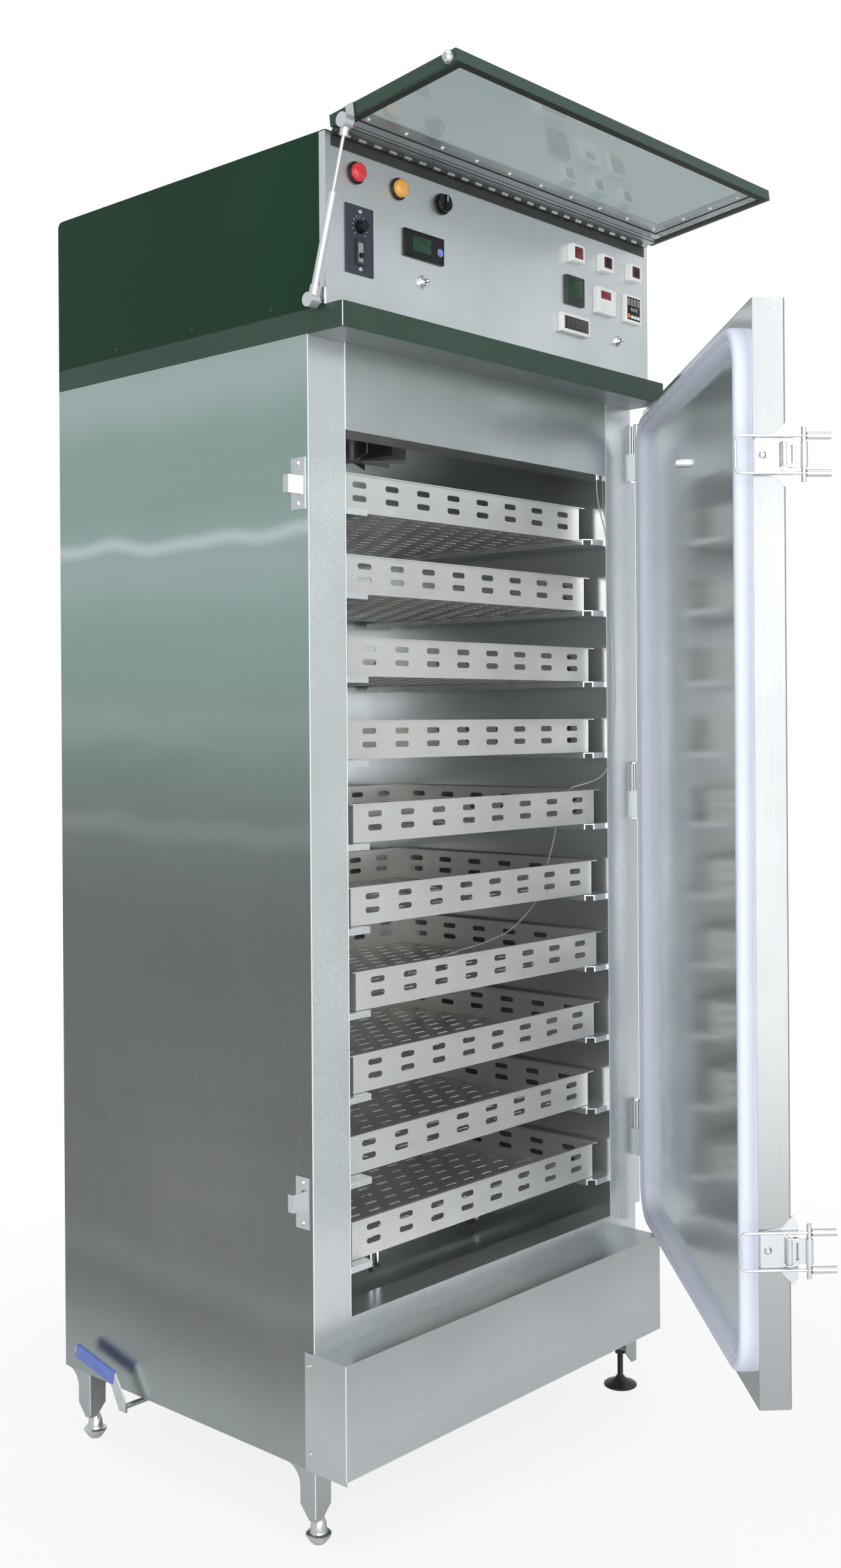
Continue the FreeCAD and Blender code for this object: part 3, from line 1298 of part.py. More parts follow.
socket_start = "-socket_radius"
socket_face = "stud_radius + strut_open_gap + 2"
lower_socket = cut(
    "lower_socket",
    fuse("lower_socket_solid", rod("lower_socket_cup", "x", (socket_start, "0", "0"), f"socket_radius + {socket_face}",
                                   "socket_radius"),
         rod("lower_socket_neck", "z", ("0", "0", "2"), "strut_tube_start + 6", "strut_tube + 1.5")),
    ball("lower_socket_seat", ("0", "0", "0"), "ball_radius + socket_clearance"),
    rod("lower_socket_mouth", "x", ("0", "0", "0"), "socket_radius + 5", "stud_radius + 1"),
    rod("lower_socket_bore", "z", ("0", "0", "strut_tube_start"), "20", "strut_tube"))
tube = cut("strut_tube_body",
           rod("strut_tube_solid", "z", ("0", "0", "strut_tube_start"), "strut_tube_length", "strut_tube"),
           rod("strut_tube_bore", "z", ("0", "0", "strut_tube_start + 30"), "strut_tube_length",
               "strut_rod_radius + pin_clearance"))
node("strut_cylinder", lean(group("strut_cylinder", lower_socket, tube)))
rod_start = "strut_tube_start + strut_tube_length - strut_rod_hidden"
node("strut_rod", lean(cut(
    "strut_rod",
    fuse("strut_rod_solid",
         rod("upper_socket_cup", "x", (socket_start, "0", strut_length), f"socket_radius + {socket_face}",
             "socket_radius"),
         rod("upper_socket_neck", "z", ("0", "0", f"{strut_length} - socket_radius - 9"), "socket_radius + 7",
             "strut_rod_radius + 3.5"),
         rod("piston_rod", "z", ("0", "0", rod_start), f"{strut_length} - socket_radius - 3 - ({rod_start})",
             "strut_rod_radius")),
    rod("upper_socket_seat", "x", ("-ball_radius", "0", strut_length), "socket_radius + 10", "ball_radius"))))
bracket_ball = ball("bracket_ball", (strut_x, "strut_low_back", "strut_low_level"), "ball_radius")
bracket_ball.Placement = Placement(Vector(), Rotation(Vector(0, 1, 0), 90))
node("strut_bracket", fuse(
    "strut_bracket",
    block("bracket_plate", (f"-({half_width}) - sheet_wall", f"-({half_width})"),
          ("strut_low_back - 12", "strut_low_back + 14"), (band_top, "strut_low_level + 18")),
    rod("bracket_stud", "x", (f"{strut_x} + 2", "strut_low_back", "strut_low_level"), "strut_out - 2", "stud_radius"),
    rod("bracket_nut", "x", (f"-({half_width}) - sheet_wall - 2.5", "strut_low_back", "strut_low_level"), "3",
        "stud_radius + 1.5"),
    bracket_ball))

# Fan: motor on the soffit, rotor under the liner's ceiling on one shaft

motor_low = soffit_top
node("fan_motor", cut(
    "fan_motor",
    fuse("motor_solid", rod("motor_can", "z", ("0", "fan_y", motor_low), "motor_height", "motor_radius"),
         rod("motor_flange", "z", ("0", "fan_y", motor_low), "4", "motor_radius + 12")),
    rod("motor_bore", "z", ("0", "fan_y", f"{motor_low} - 1"), "motor_height - 8", "fan_shaft + pin_clearance")))
rotor_top = "liner_ceiling - 12"
blades = []
for place in range(12):
    blade = block(f"fan_blade_{place}", ("14", "fan_radius"), ("-1", "1"), (f"{rotor_top} - fan_blade", rotor_top))
    blade.Placement = Placement(Vector(), Rotation(Vector(0, 0, 1), 30 * place))
    blade.setExpression("Placement.Base.x", bind(f"14 * cos({30 * place})"))
    blade.setExpression("Placement.Base.y", bind(f"fan_y + 14 * sin({30 * place})"))
    blades.append(blade)
node("fan_rotor", fuse(
    "fan_rotor", *blades,
    rod("fan_plate", "z", ("0", "fan_y", f"{rotor_top} - 2"), "2", "fan_radius"),
    rod("fan_hub", "z", ("0", "fan_y", f"{rotor_top} - fan_blade"), "fan_blade", "18"),
    rod("fan_axle", "z", ("0", "fan_y", f"{rotor_top} - fan_blade"),
        f"{motor_low} + motor_height - 12 - ({rotor_top}) + fan_blade", "fan_shaft")))

# Electrical units on the head's floor

node("electrics", group(
    "electrics",
    block("terminal_row", ("120", "260"), ("380", "410"), (soffit_top, f"{soffit_top} + 45")),
    block("contactor", ("-250", "-190"), ("360", "440"), (soffit_top, f"{soffit_top} + 85")),
    block("power_supply", ("-170", "-70"), ("370", "430"), (soffit_top, f"{soffit_top} + 60"))))


# Routes made of straight runs and tangent arcs

def routed(points, radius, label):
    """Tube along a route; each arc is as large as its two runs allow."""
    spots = [Vector(*point) for point in points]
    edges = []
    radii = []
    last = spots[0]
    for before, corner, after in zip(spots, spots[1:], spots[2:]):
        inward, outward = corner - before, after - corner
        turn = inward.getAngle(outward)
        trim = 0.45 * min(inward.Length, outward.Length)
        radii.append(trim / math.tan(turn / 2))
        back, ahead = inward.normalize() * -1, outward.normalize()
        start, end = corner + back * trim, corner + ahead * trim
        bisector = (back + ahead).normalize()
        depth = radii[-1] / math.cos(turn / 2) - radii[-1]
        edges.append(Part.LineSegment(last, start).toShape())
        edges.append(Part.Arc(start, corner + bisector * depth, end).toShape())
        last = end
    edges.append(Part.LineSegment(last, spots[-1]).toShape())
    path = Part.Wire(edges)
    first = (spots[1] - spots[0]).normalize()
    section = Part.Wire([Part.makeCircle(radius, spots[0], first)])
    solid = path.makePipeShell([section], True, False)
    expected = math.pi * radius ** 2 * path.Length
    print(f"{label}: {path.Length:.1f} mm long, radii {[round(item, 1) for item in radii]}, "
          f"volume {solid.Volume:.0f} of {expected:.0f}")
    return solid


def fitting(name, shape):
    """Feature that holds a routed tube."""
    feature = doc.addObject("Part::Feature", name)
    feature.Shape = shape
    feature.Placement = Placement()
    return feature


heater_y, heater_back = 120, 300
heater_x = value(half_opening)
level = value("heater_z")
element = fitting("heater_tube", routed(
    [(heater_x, heater_y, level), (-180, heater_y, level), (-180, heater_back, level), (heater_x, heater_back, level)],
    value("heater_radius"), "heater"))
flanges = [cut(f"heater_flange_{place}",
               rod(f"heater_disc_{place}", "x", (f"{half_opening} - 5", str(y), "heater_z"), "5", "heater_flange"),
               rod(f"heater_hole_{place}", "x", (f"{half_opening} - 6", str(y), "heater_z"), "7", "heater_radius"))
           for place, y in enumerate((heater_y, heater_back))]
probe = fuse(
    "level_probe",
    block("probe_bar", (f"-({half_opening})", "probe_x + 8"), ("probe_y - 8", "probe_y + 8"),
          ("probe_bracket", "probe_bracket + 3")),
    rod("probe_first", "z", ("probe_x", "probe_y", "probe_low"), "probe_bracket - probe_low + 1", "probe_radius"),
    rod("probe_second", "z", ("probe_x - 14", "probe_y", "probe_low - 4"), "probe_bracket - probe_low + 5",
        "probe_radius - 0.7"))
node("heater_element", group("heater_element", element, *flanges, probe))

# Drain: pipe from the pan to a quarter turn valve under the left side, lever outside

reach_down = "liner_floor - valve_z"
pipe = fuse(
    "drain_pipe",
    rod("drain_drop", "z", ("drain_x", "drain_y", "valve_z"), reach_down, "drain_radius"),
    rod("drain_run", "x", ("valve_x", "drain_y", "valve_z"), "drain_x - valve_x", "drain_radius"),
    ball("drain_first_elbow", ("drain_x", "drain_y", "valve_z"), "drain_radius"),
    ball("drain_second_elbow", ("valve_x", "drain_y", "valve_z"), "drain_radius"),
    rod("drain_feed", "y", ("valve_x", "drain_y", "valve_z"), "valve_y - drain_y + 46", "drain_radius"),
    rod("valve_body", "y", ("valve_x", "valve_y - 20", "valve_z"), "40", "valve_radius"),
    rod("valve_bonnet", "x", ("valve_x - valve_radius - 7", "valve_y", "valve_z"), "20", "7"))
node("drain_valve", cut(
    "drain_valve", pipe,
    rod("valve_stem_bore", "x", ("valve_x - valve_radius - 8", "valve_y", "valve_z"), "20",
        "drain_stem + pin_clearance"),
    rod("valve_outlet_bore", "y", ("valve_x", "valve_y + 22", "valve_z"), "30", "drain_radius - 2")))

crank = doc.addObject("PartDesign::Body", "drain_crank")
drawing = draw(crank, "drain_crank_outline", "YZ_Plane", "lever_x - 1.5")
outline(drawing, [
    ("valve_y - 8", "valve_z - 6"), ("valve_y + 8", "valve_z - 6"), ("valve_y + 30", "valve_z + 32"),
    ("valve_y + 52", "valve_z + 37"), ("valve_y + 48", "valve_z + 51"), ("valve_y + 19", "valve_z + 45"),
    ("valve_y - 8", "valve_z + 8")])
extrude(crank, "Pad", "drain_crank_plate", drawing, "3")
sleeve = doc.addObject("PartDesign::Body", "drain_sleeve")
drawing = draw(sleeve, "drain_sleeve_outline", "YZ_Plane", "lever_x - 3.5")
outline(drawing, [
    ("valve_y + 27", "valve_z + 30.6"), ("valve_y + 106", "valve_z + 47.4"),
    ("valve_y + 109", "valve_z + 64.5", "9.5"), ("valve_y + 23.5", "valve_z + 46.7")])
extrude(sleeve, "Pad", "drain_sleeve_block", drawing, "7")
node("drain_lever", fuse(
    "drain_lever", crank, sleeve,
    rod("drain_axle", "x", ("lever_x", "valve_y", "valve_z"), "valve_x - 4 - lever_x", "drain_stem")))

# Fittings: water inlet, cable gland, and the gland of the sensor lead under the top jamb

LEAD_GLAND = (292, 12)
inlet = cut(
    "water_inlet",
    fuse("inlet_solid",
         rod("inlet_pipe", "y", ("inlet_x", "liner_back - 8", "inlet_z"), "body_depth - liner_back + 8 + inlet_reach",
             "inlet_radius"),
         rod("inlet_flange", "y", ("inlet_x", "body_depth", "inlet_z"), "6", "inlet_radius + 6")),
    rod("inlet_bore", "y", ("inlet_x", "liner_back - 10", "inlet_z"), "body_depth - liner_back + 20 + inlet_reach",
        "inlet_radius - 2"))
cable_gland = fuse(
    "cable_gland",
    rod("gland_thread", "y", ("gland_x", "body_depth - 12", "gland_z"), "20", "gland_radius"),
    rod("gland_nut", "y", ("gland_x", "body_depth", "gland_z"), "10", "gland_radius + 4"),
    cone("gland_cap", "y", ("gland_x", "body_depth + 10", "gland_z"), "18", "gland_radius + 2", "gland_radius - 2"))
lead_gland = rod("lead_gland", "z", (str(LEAD_GLAND[0]), str(LEAD_GLAND[1]), "opening_top - lead_gland_length"),
                 "lead_gland_length", "lead_gland_radius")
node("supply_fittings", group("supply_fittings", inlet, cable_gland, lead_gland))

# Sensor lead: hangs before the right stile, then runs down through slots of two trays

LEAD_ROUTE = (
    (292, 12, 1494), (292, 12, 1479), (292.8, 11, 1462), (294.5, 7, 1440), (296.5, -3, 1405), (299.5, -5.5, 1375), (304, -5, 1340),
    (309, -4, 1295), (313.5, -4.5, 1245), (316, -4, 1195), (316.5, -4.5, 1150), (315, -4, 1110), (310, -4.5, 1072),
    (301, -5, 1040), (286, -6, 1017), (262, -4, 1006), (236, 3, 1000), (224, 20, 995), (227, 40, 972),
    (238, 59, 948), (240, 60, 932), (234, 60.5, 908), (223, 61, 882), (212, 64, 852), (203, 66, 824), (180, 61, 806), (150, 60, 788),
    (115, 60, 771), (80, 58, 765), (40, 57, 759), (0, 55, 757), (-40, 54, 753), (-78, 56, 743), (-108, 62, 727),
    (-135, 72, 713.5), (-165, 84, 709.5),
)
node("sensor_lead", fitting("sensor_lead", routed(LEAD_ROUTE, value("lead_radius"), "lead")))

# Checks and export

doc.recompute()
problems = [f"{item.Name}: {item.State}" for item in doc.Objects if {"Invalid", "Error"} & set(item.State)]
for piece in nodes:
    if piece.Shape.isNull() or not piece.Shape.isValid() or not piece.Shape.Solids:
        problems.append(f"{piece.Label}: bad shape")
if problems:
    raise SystemExit("\n".join(problems))
for piece in nodes:
    piece.Shape.exportStep(f"parts/{piece.Label}.step")
box = Part.makeCompound([piece.Shape for piece in nodes]).BoundBox
print(f"{len(nodes)} sub-parts, {sum(len(piece.Shape.Solids) for piece in nodes)} solids, {box}")
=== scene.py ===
"""Looks of a steam cabinet with ten slotted trays, a sealed door and a lidded control head."""

import logging
import math
from collections.abc import Sequence
from dataclasses import dataclass
from enum import Enum

import bpy
from mathutils import Matrix, Vector


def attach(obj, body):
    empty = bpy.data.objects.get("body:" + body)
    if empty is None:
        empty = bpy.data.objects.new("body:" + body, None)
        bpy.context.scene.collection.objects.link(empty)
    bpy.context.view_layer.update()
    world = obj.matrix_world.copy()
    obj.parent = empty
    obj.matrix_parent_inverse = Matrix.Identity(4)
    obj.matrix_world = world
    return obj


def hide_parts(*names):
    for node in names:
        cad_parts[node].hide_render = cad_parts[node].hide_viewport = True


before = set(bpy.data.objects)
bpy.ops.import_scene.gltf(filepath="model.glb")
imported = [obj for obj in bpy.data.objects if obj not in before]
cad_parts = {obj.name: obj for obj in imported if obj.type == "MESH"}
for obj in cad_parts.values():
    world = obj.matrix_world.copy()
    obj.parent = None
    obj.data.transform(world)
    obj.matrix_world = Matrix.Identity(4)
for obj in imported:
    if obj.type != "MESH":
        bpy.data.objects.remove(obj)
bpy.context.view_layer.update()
LOG = logging.getLogger("steam_cabinet")

Spot = tuple[float, float, float]
Colour = tuple[float, float, float]
Steps = Sequence[tuple[float, float]]
Piece = bpy.types.Object
Socket = bpy.types.NodeSocket
Node = bpy.types.Node
Tree = bpy.types.NodeTree
Sockets = dict[str, Socket]
Feeds = dict[str | int, object]

WHITE = (1, 1, 1, 1)
# Colour of the light wavy bands: painted reflection on the side sheet.
PAINTED_REFLECTION_LIGHT = (0.72, 0.78, 0.78)
LEAST_ROUGH = 0.02
COAT_ROUGH = 0.08
TO_FRONT = (0, -1, 0)
ORIGIN = (0, 0, 0)
BODY_TOP = 1.618
PANEL_FACE = -0.036
PANEL_LEVEL = 1.652
JOIN_DISTANCE = 0.000005


class Grain(Enum):
    """Direction of the brush lines on a sheet, as a stretch of its texture."""

    ALONG_X = (1.6, 110.0, 110.0)
    ALONG_Y = (110.0, 1.6, 110.0)
    ALONG_Z = (110.0, 110.0, 1.6)
    NONE = (30.0, 30.0, 30.0)


class Facing(Enum):
    """Side that a turned piece points to, as a rotation of its own axis."""

    FRONT = (math.pi / 2, 0.0, 0.0)
    LEFT = (0.0, -math.pi / 2, 0.0)
    RIGHT = (0.0, math.pi / 2, 0.0)
    UP = (0.0, 0.0, 0.0)
    DOWN = (math.pi, 0.0, 0.0)


class Graph:
    """Node tree that is filled node by node."""

    def __init__(self, tree: Tree) -> None:
        """Start on a tree.

        Args:
            tree: The tree.
        """
        self.tree = tree

    def feed(self, node: Node, feeds: Feeds) -> Node:
        """Set or link inputs of a node.

        Args:
            node: The node.
            feeds: Value or socket for each input, by its name or number.

        Returns:
            The node.
        """
        for key, value in feeds.items():
            if isinstance(value, Socket):
                self.tree.links.new(value, node.inputs[key])
            else:
                node.inputs[key].default_value = value
        return node

    def add(self, kind: str, feeds: Feeds, **settings: object) -> Node:
        """Add a shader node.

        Args:
            kind: Kind of the node.
            feeds: Value or socket for each input, by its name or number.
            settings: Attributes of the node.

        Returns:
            The node.
        """
        node = self.tree.nodes.new(f"ShaderNode{kind}")
        for name, value in settings.items():
            setattr(node, name, value)
        return self.feed(node, feeds)

    def blend(self, colour: Socket, other: Colour, mask: Socket, share: float) -> Socket:
        """Blend a colour to another one.

        Args:
            colour: Socket of the colour so far.
            other: The other colour.
            mask: Socket of the mask.
            share: Share of the other colour where the mask is 1.

        Returns:
            Socket of the blended colour.
        """
        part = self.add("Math", {0: mask, 1: share}, operation="MULTIPLY")
        feeds = {"Factor": part.outputs[0], "A": colour, "B": (*other, 1.0)}
        return self.add("Mix", feeds, data_type="RGBA").outputs["Result"]


class Effects:
    """Shared texture effects, built once as node groups."""

    @staticmethod
    def start(name: str, takes: dict[str, str], gives: tuple[str, ...]) -> tuple[Graph, Sockets, Node]:
        """Start a node group.

        Args:
            name: Its name.
            takes: Kind of each input, by name.
            gives: Names of its values.

        Returns:
            The group's graph, its inputs and its output node.
        """
        tree = bpy.data.node_groups.new(name, "ShaderNodeTree")
        for label, kind in takes.items():
            tree.interface.new_socket(label, in_out="INPUT", socket_type=f"NodeSocket{kind}")
        for label in gives:
            tree.interface.new_socket(label, in_out="OUTPUT", socket_type="NodeSocketFloat")
        return Graph(tree), tree.nodes.new("NodeGroupInput").outputs, tree.nodes.new("NodeGroupOutput")

    @staticmethod
    def marks() -> Tree:
        """Brush lines, cloudy patches and fine speckle of a surface.

        Returns:
            The node group, with values from 0 to 1 for each effect.
        """
        found = bpy.data.node_groups.get("surface_marks")
        if found:
            return found
        takes = {"Place": "Vector", "Stretch": "Vector", "Patch Scale": "Float", "Speckle Scale": "Float"}
        graph, given, end = Effects.start("surface_marks", takes, ("Lines", "Patches", "Speckle"))
        stretched = graph.add("VectorMath", {0: given["Place"], 1: given["Stretch"]}, operation="MULTIPLY")
        for name, feeds in (
                ("Lines", {"Vector": stretched.outputs[0], "Scale": 9.0, "Detail": 4.0, "Roughness": 0.62}),
                ("Patches", {"Vector": given["Place"], "Scale": given["Patch Scale"], "Detail": 3.0}),
                ("Speckle", {"Vector": given["Place"], "Scale": given["Speckle Scale"], "Detail": 2.0})):
            noise = graph.add("TexNoise", feeds)
            spread = graph.add("MapRange", {"From Min": 0.3, "From Max": 0.7, "Value": noise.outputs["Fac"]})
            graph.feed(end, {name: spread.outputs["Result"]})
        return graph.tree

    @staticmethod
    def fade() -> Tree:
        """Mask that rises from a low to a high level, for painted light and shade.

        Returns:
            The node group, with a mask from 0 to 1.
        """
        found = bpy.data.node_groups.get("level_fade")
        if found:
            return found
        takes = {"Place": "Vector", "Low": "Float", "High": "Float"}
        graph, given, end = Effects.start("level_fade", takes, ("Mask",))
        parts = graph.add("SeparateXYZ", {0: given["Place"]})
        ramp = graph.add("MapRange", {"Value": parts.outputs["Z"], "From Min": given["Low"], "From Max": given["High"]},
                         interpolation_type="SMOOTHSTEP")
        graph.feed(end, {"Mask": ramp.outputs["Result"]})
        return graph.tree

    @staticmethod
    def band() -> Tree:
        """Mask of a wavy level band of painted reflection.

        Returns:
            The node group, with a mask that is 1 on the band's middle line.
        """
        found = bpy.data.node_groups.get("painted_reflection_band")
        if found:
            return found
        takes = {"Place": "Vector", "Level": "Float", "Half": "Float"}
        graph, given, end = Effects.start("painted_reflection_band", takes, ("Mask",))
        parts = graph.add("SeparateXYZ", {0: given["Place"]}).outputs
        along = graph.add("CombineXYZ", {"X": parts["X"], "Y": parts["Y"]})
        sway = graph.add("TexNoise", {"Vector": along.outputs[0], "Scale": 5.0, "Detail": 1.0})
        level = graph.add("Math", {0: sway.outputs["Fac"], 1: 0.06, 2: parts["Z"]}, operation="MULTIPLY_ADD")
        away = graph.add("Math", {0: level.outputs[0], 1: given["Level"]}, operation="SUBTRACT")
        size = graph.add("Math", {0: away.outputs[0]}, operation="ABSOLUTE")
        feeds = {"Value": size.outputs[0], "From Max": given["Half"], "To Min": 1.0, "To Max": 0.0}
        ramp = graph.add("MapRange", feeds, interpolation_type="SMOOTHSTEP")
        graph.feed(end, {"Mask": ramp.outputs["Result"]})
        return graph.tree


@dataclass(frozen=True)
class Finish:
    """A surface finish.

    Attributes:
        name: Name of the material.
        colour: Main colour.
        shade: Colour of the lines, patches and speckle.
        metallic: Share of bare metal.
        roughness: Middle roughness.
        spread: How far the roughness changes over the surface.
        patch_scale: Scale of the patches.
        coat: Weight of a clear coat.
        grain: Direction of brush lines.
        marks: Shares of brush lines, cloudy patches and fine speckle.
        speckle_scale: Scale of the speckle.
        relief: Depth of the relief in metres.
        fade: Painted light and shade: colour that the finish fades to, low level, high level and share, if any.
        glow: Strength of emission.
        clear: Share of light let through.
        gleam: Specular level of the uncoated surface.
        painted_reflection_bands: Level, half width and share of each lighter wavy band of painted reflection.
        waves: Height in metres and stretch along the three axes of slow waves, if any.
    """

    name: str
    colour: Colour
    shade: Colour
    metallic: float = 0.0
    roughness: float = 0.5
    spread: float = 0.1
    patch_scale: float = 5.0
    coat: float = 0.0
    grain: Grain = Grain.NONE
    marks: Spot = (0.0, 0.3, 0.2)
    speckle_scale: float = 400.0
    relief: float = 0.00002
    fade: tuple[Colour, float, float, float] | None = None
    glow: float = 0.0
    clear: float = 0.0
    gleam: float = 0.5
    painted_reflection_bands: tuple[Spot, ...] = ()
    waves: tuple[float, Spot] | None = None

    def build(self) -> bpy.types.Material:
        """Build the material, or find it where it is built already.

        Returns:
            The material.
        """
        label = f"look_{self.name}"
        found = bpy.data.materials.get(label)
        if found:
            return found
        material = bpy.data.materials.new(label)
        material.use_nodes = True
        graph = Graph(material.node_tree)
        place = graph.add("TexCoord", {}).outputs["Object"]
        mask = self.mask(graph, place)
        tint = graph.add("Mix", {"Factor": mask, "A": (*self.colour, 1.0), "B": (*self.shade, 1.0)}, data_type="RGBA")
        colour = tint.outputs["Result"]
        # Painted light and shade: the colour blends to the fade colour towards the high level.
        if self.fade:
            other, low, high, share = self.fade
            fade = graph.add("Group", {"Place": place, "Low": low, "High": high}, node_tree=Effects.fade())
            colour = graph.blend(colour, other, fade.outputs["Mask"], share)
        # Painted reflection: light wavy bands laid over the colour.
        for level, half, share in self.painted_reflection_bands:
            band = graph.add("Group", {"Place": place, "Level": level, "Half": half}, node_tree=Effects.band())
            colour = graph.blend(colour, PAINTED_REFLECTION_LIGHT, band.outputs["Mask"], share)
        gloss = graph.add("MapRange", {"Value": mask, "To Min": max(LEAST_ROUGH, self.roughness - self.spread),
                                       "To Max": min(1.0, self.roughness + self.spread)})
        bump = graph.add("Bump", {"Strength": 0.6, "Distance": self.relief, "Height": mask})
        if self.waves:
            graph.feed(bump, {"Normal": self.swell(graph, place)})
        shader = material.node_tree.nodes["Principled BSDF"]
        graph.feed(shader, {
            "Base Color": colour, "Roughness": gloss.outputs["Result"], "Normal": bump.outputs["Normal"],
            "Specular IOR Level": self.gleam, "Metallic": self.metallic, "Coat Weight": self.coat,
            "Coat Roughness": COAT_ROUGH, "Transmission Weight": self.clear})
        if self.glow:
            graph.feed(shader, {"Emission Color": colour, "Emission Strength": self.glow})
        return material

    def mask(self, graph: Graph, place: Socket) -> Socket:
        """Add the lines, patches and speckle by their shares.

        Args:
            graph: Graph of the material.
            place: Socket of the place on the surface.

        Returns:
            The socket with the sum.
        """
        marks = graph.add("Group", {"Place": place, "Stretch": self.grain.value, "Patch Scale": self.patch_scale,
                                    "Speckle Scale": self.speckle_scale}, node_tree=Effects.marks())
        total = 0.0
        for name, share in zip(("Lines", "Patches", "Speckle"), self.marks):
            feeds = {0: marks.outputs[name], 1: share, 2: total}
            total = graph.add("Math", feeds, operation="MULTIPLY_ADD").outputs[0]
        return total

    def swell(self, graph: Graph, place: Socket) -> Socket:
        """Slow waves under the relief, as in thin sheet.

        Args:
            graph: Graph of the material.
            place: Socket of the place on the surface.

        Returns:
            The socket of the waved normal.
        """
        height, stretch = self.waves
        stretched = graph.add("VectorMath", {0: place, 1: stretch}, operation="MULTIPLY")
        slow = graph.add("Group", {"Place": stretched.outputs[0], "Stretch": (1.0, 1.0, 1.0), "Patch Scale": 1.0,
                                   "Speckle Scale": 1.0}, node_tree=Effects.marks())
        bump = graph.add("Bump", {"Strength": 1.0, "Distance": height, "Height": slow.outputs["Patches"]})
        return bump.outputs["Normal"]


def steel(name: str, grain: Grain, tone: float = 0.6, roughness: float = 0.3, metallic: float = 1.0,
          **more: object) -> Finish:
    """Brushed steel of a tone.

    Args:
        name: Name of the finish.
        grain: Direction of the brush lines.
        tone: Lightness of the metal.
        roughness: Middle roughness.
        metallic: Share of bare metal.
        more: Other attributes of the finish.

    Returns:
        The finish.
    """
    settings = {"marks": (0.3, 0.4, 0.12), "spread": 0.09, "patch_scale": 4.0, "relief": 0.000003, **more}
    return Finish(name, (tone * 0.97, tone, tone * 1.005), (tone * 0.76, tone * 0.79, tone * 0.795), metallic,
                  roughness, grain=grain, **settings)


# Side sheet: the slight green tint, the lighter green fade towards the top and the light wavy bands are painted
# reflection.
SIDE_STEEL = Finish("side_steel", (0.27, 0.278, 0.265), (0.178, 0.186, 0.176), 1.0, 0.3, 0.09, 2.2,
                    grain=Grain.ALONG_Z, relief=0.000003, fade=((0.37, 0.5, 0.448), 0.75, 1.3, 0.92),
                    painted_reflection_bands=((1.392, 0.017, 0.8), (1.36, 0.1, 0.22), (1.62, 0.09, 0.34), (1.13, 0.05, 0.12),
                           (0.98, 0.03, 0.12), (0.34, 0.04, 0.06), (0.13, 0.17, 0.4)),
                    waves=(0.008, (1.0, 1.0, 3.2)), marks=(0.4, 0.45, 0.1))
FRONT_STEEL = steel("front_steel", Grain.ALONG_Z, 0.88, 0.3, 0.9)
# Header: the darker green tone at its top, under the head band, is painted shade with a painted green reflection.
HEADER_STEEL = steel("header_steel", Grain.ALONG_X, 0.66, 0.32, 0.9, patch_scale=5.0,
                     fade=((0.36, 0.42, 0.385), 1.52, 1.62, 0.6), marks=(0.3, 0.8, 0.12))
SOFFIT_STEEL = steel("soffit_steel", Grain.ALONG_X, 0.4, 0.34, 0.9, patch_scale=6.0, marks=(0.3, 0.7, 0.12))
LINER_STEEL = steel("liner_steel", Grain.ALONG_X, 0.86, 0.24, 0.9)
PANEL_STEEL = steel("panel_steel", Grain.ALONG_Z, 0.9, 0.36, patch_scale=4.0, marks=(0.3, 0.75, 0.12))
# Apron: the darker tone towards its top is painted shade.
APRON_STEEL = steel("apron_steel", Grain.ALONG_X, 0.74, 0.3, patch_scale=2.6, waves=(0.006, (1.6, 1.6, 3.0)),
                    fade=((0.42, 0.425, 0.42), 0.15, 0.275, 0.55), marks=(0.3, 0.75, 0.12))
LEG_STEEL = steel("leg_steel", Grain.ALONG_Z, 0.6, 0.36)
RAIL_STEEL = steel("rail_steel", Grain.ALONG_Y, 0.85, 0.3, 0.8)
DOOR_STEEL = steel("door_steel", Grain.ALONG_Z, 0.4, 0.36, 0.9)
DOOR_LINER_STEEL = steel("door_liner_steel", Grain.ALONG_Z, 0.98, 0.17, 0.8, waves=(0.0009, (0.3, 0.3, 7.0)))
HINGE_STEEL = steel("hinge_steel", Grain.ALONG_Z, 0.6, 0.33)
TRIM_STEEL = steel("trim_steel", Grain.ALONG_X, 0.62, 0.3)
FAN_STEEL = steel("fan_steel", Grain.NONE, 0.5, 0.4)
TRAY_STEEL = Finish("tray_steel", (0.89, 0.885, 0.855), (0.72, 0.71, 0.685), 0.8, 0.35, 0.09, 9.0,
                    grain=Grain.ALONG_X, marks=(0.45, 0.45, 0.1))
CHROME = Finish("chrome", (0.76, 0.77, 0.78), (0.6, 0.61, 0.62), 1.0, 0.17, 0.05, 40.0, marks=(0.0, 0.4, 0.15))
# Light finish of thin strips laid on corners and seams as painted highlights.
PAINTED_HIGHLIGHT_EDGE = Finish("painted_highlight_edge", (0.9, 0.91, 0.92), (0.8, 0.81, 0.82), 0.2, 0.4, 0.08, 20.0)
SCREW_STEEL = Finish("screw_steel", (0.74, 0.75, 0.76), (0.5, 0.51, 0.52), 1.0, 0.3, 0.08, 60.0,
                     marks=(0.0, 0.3, 0.4))
STRUT_SILVER = Finish("strut_silver", (0.74, 0.75, 0.76), (0.55, 0.56, 0.57), 0.75, 0.33, 0.06, 30.0)
GREEN_PAINT = Finish("green_paint", (0.006, 0.033, 0.014), (0.011, 0.044, 0.021), 0.0, 0.3, 0.05, 2.5, gleam=0.12,
                     relief=0.00003, marks=(0.0, 0.6, 0.12))
BAND_GREEN = Finish("band_green", (0.022, 0.05, 0.032), (0.034, 0.066, 0.046), 0.0, 0.3, 0.05, 3.0, gleam=0.35,
                    relief=0.00003, marks=(0.0, 0.6, 0.12))
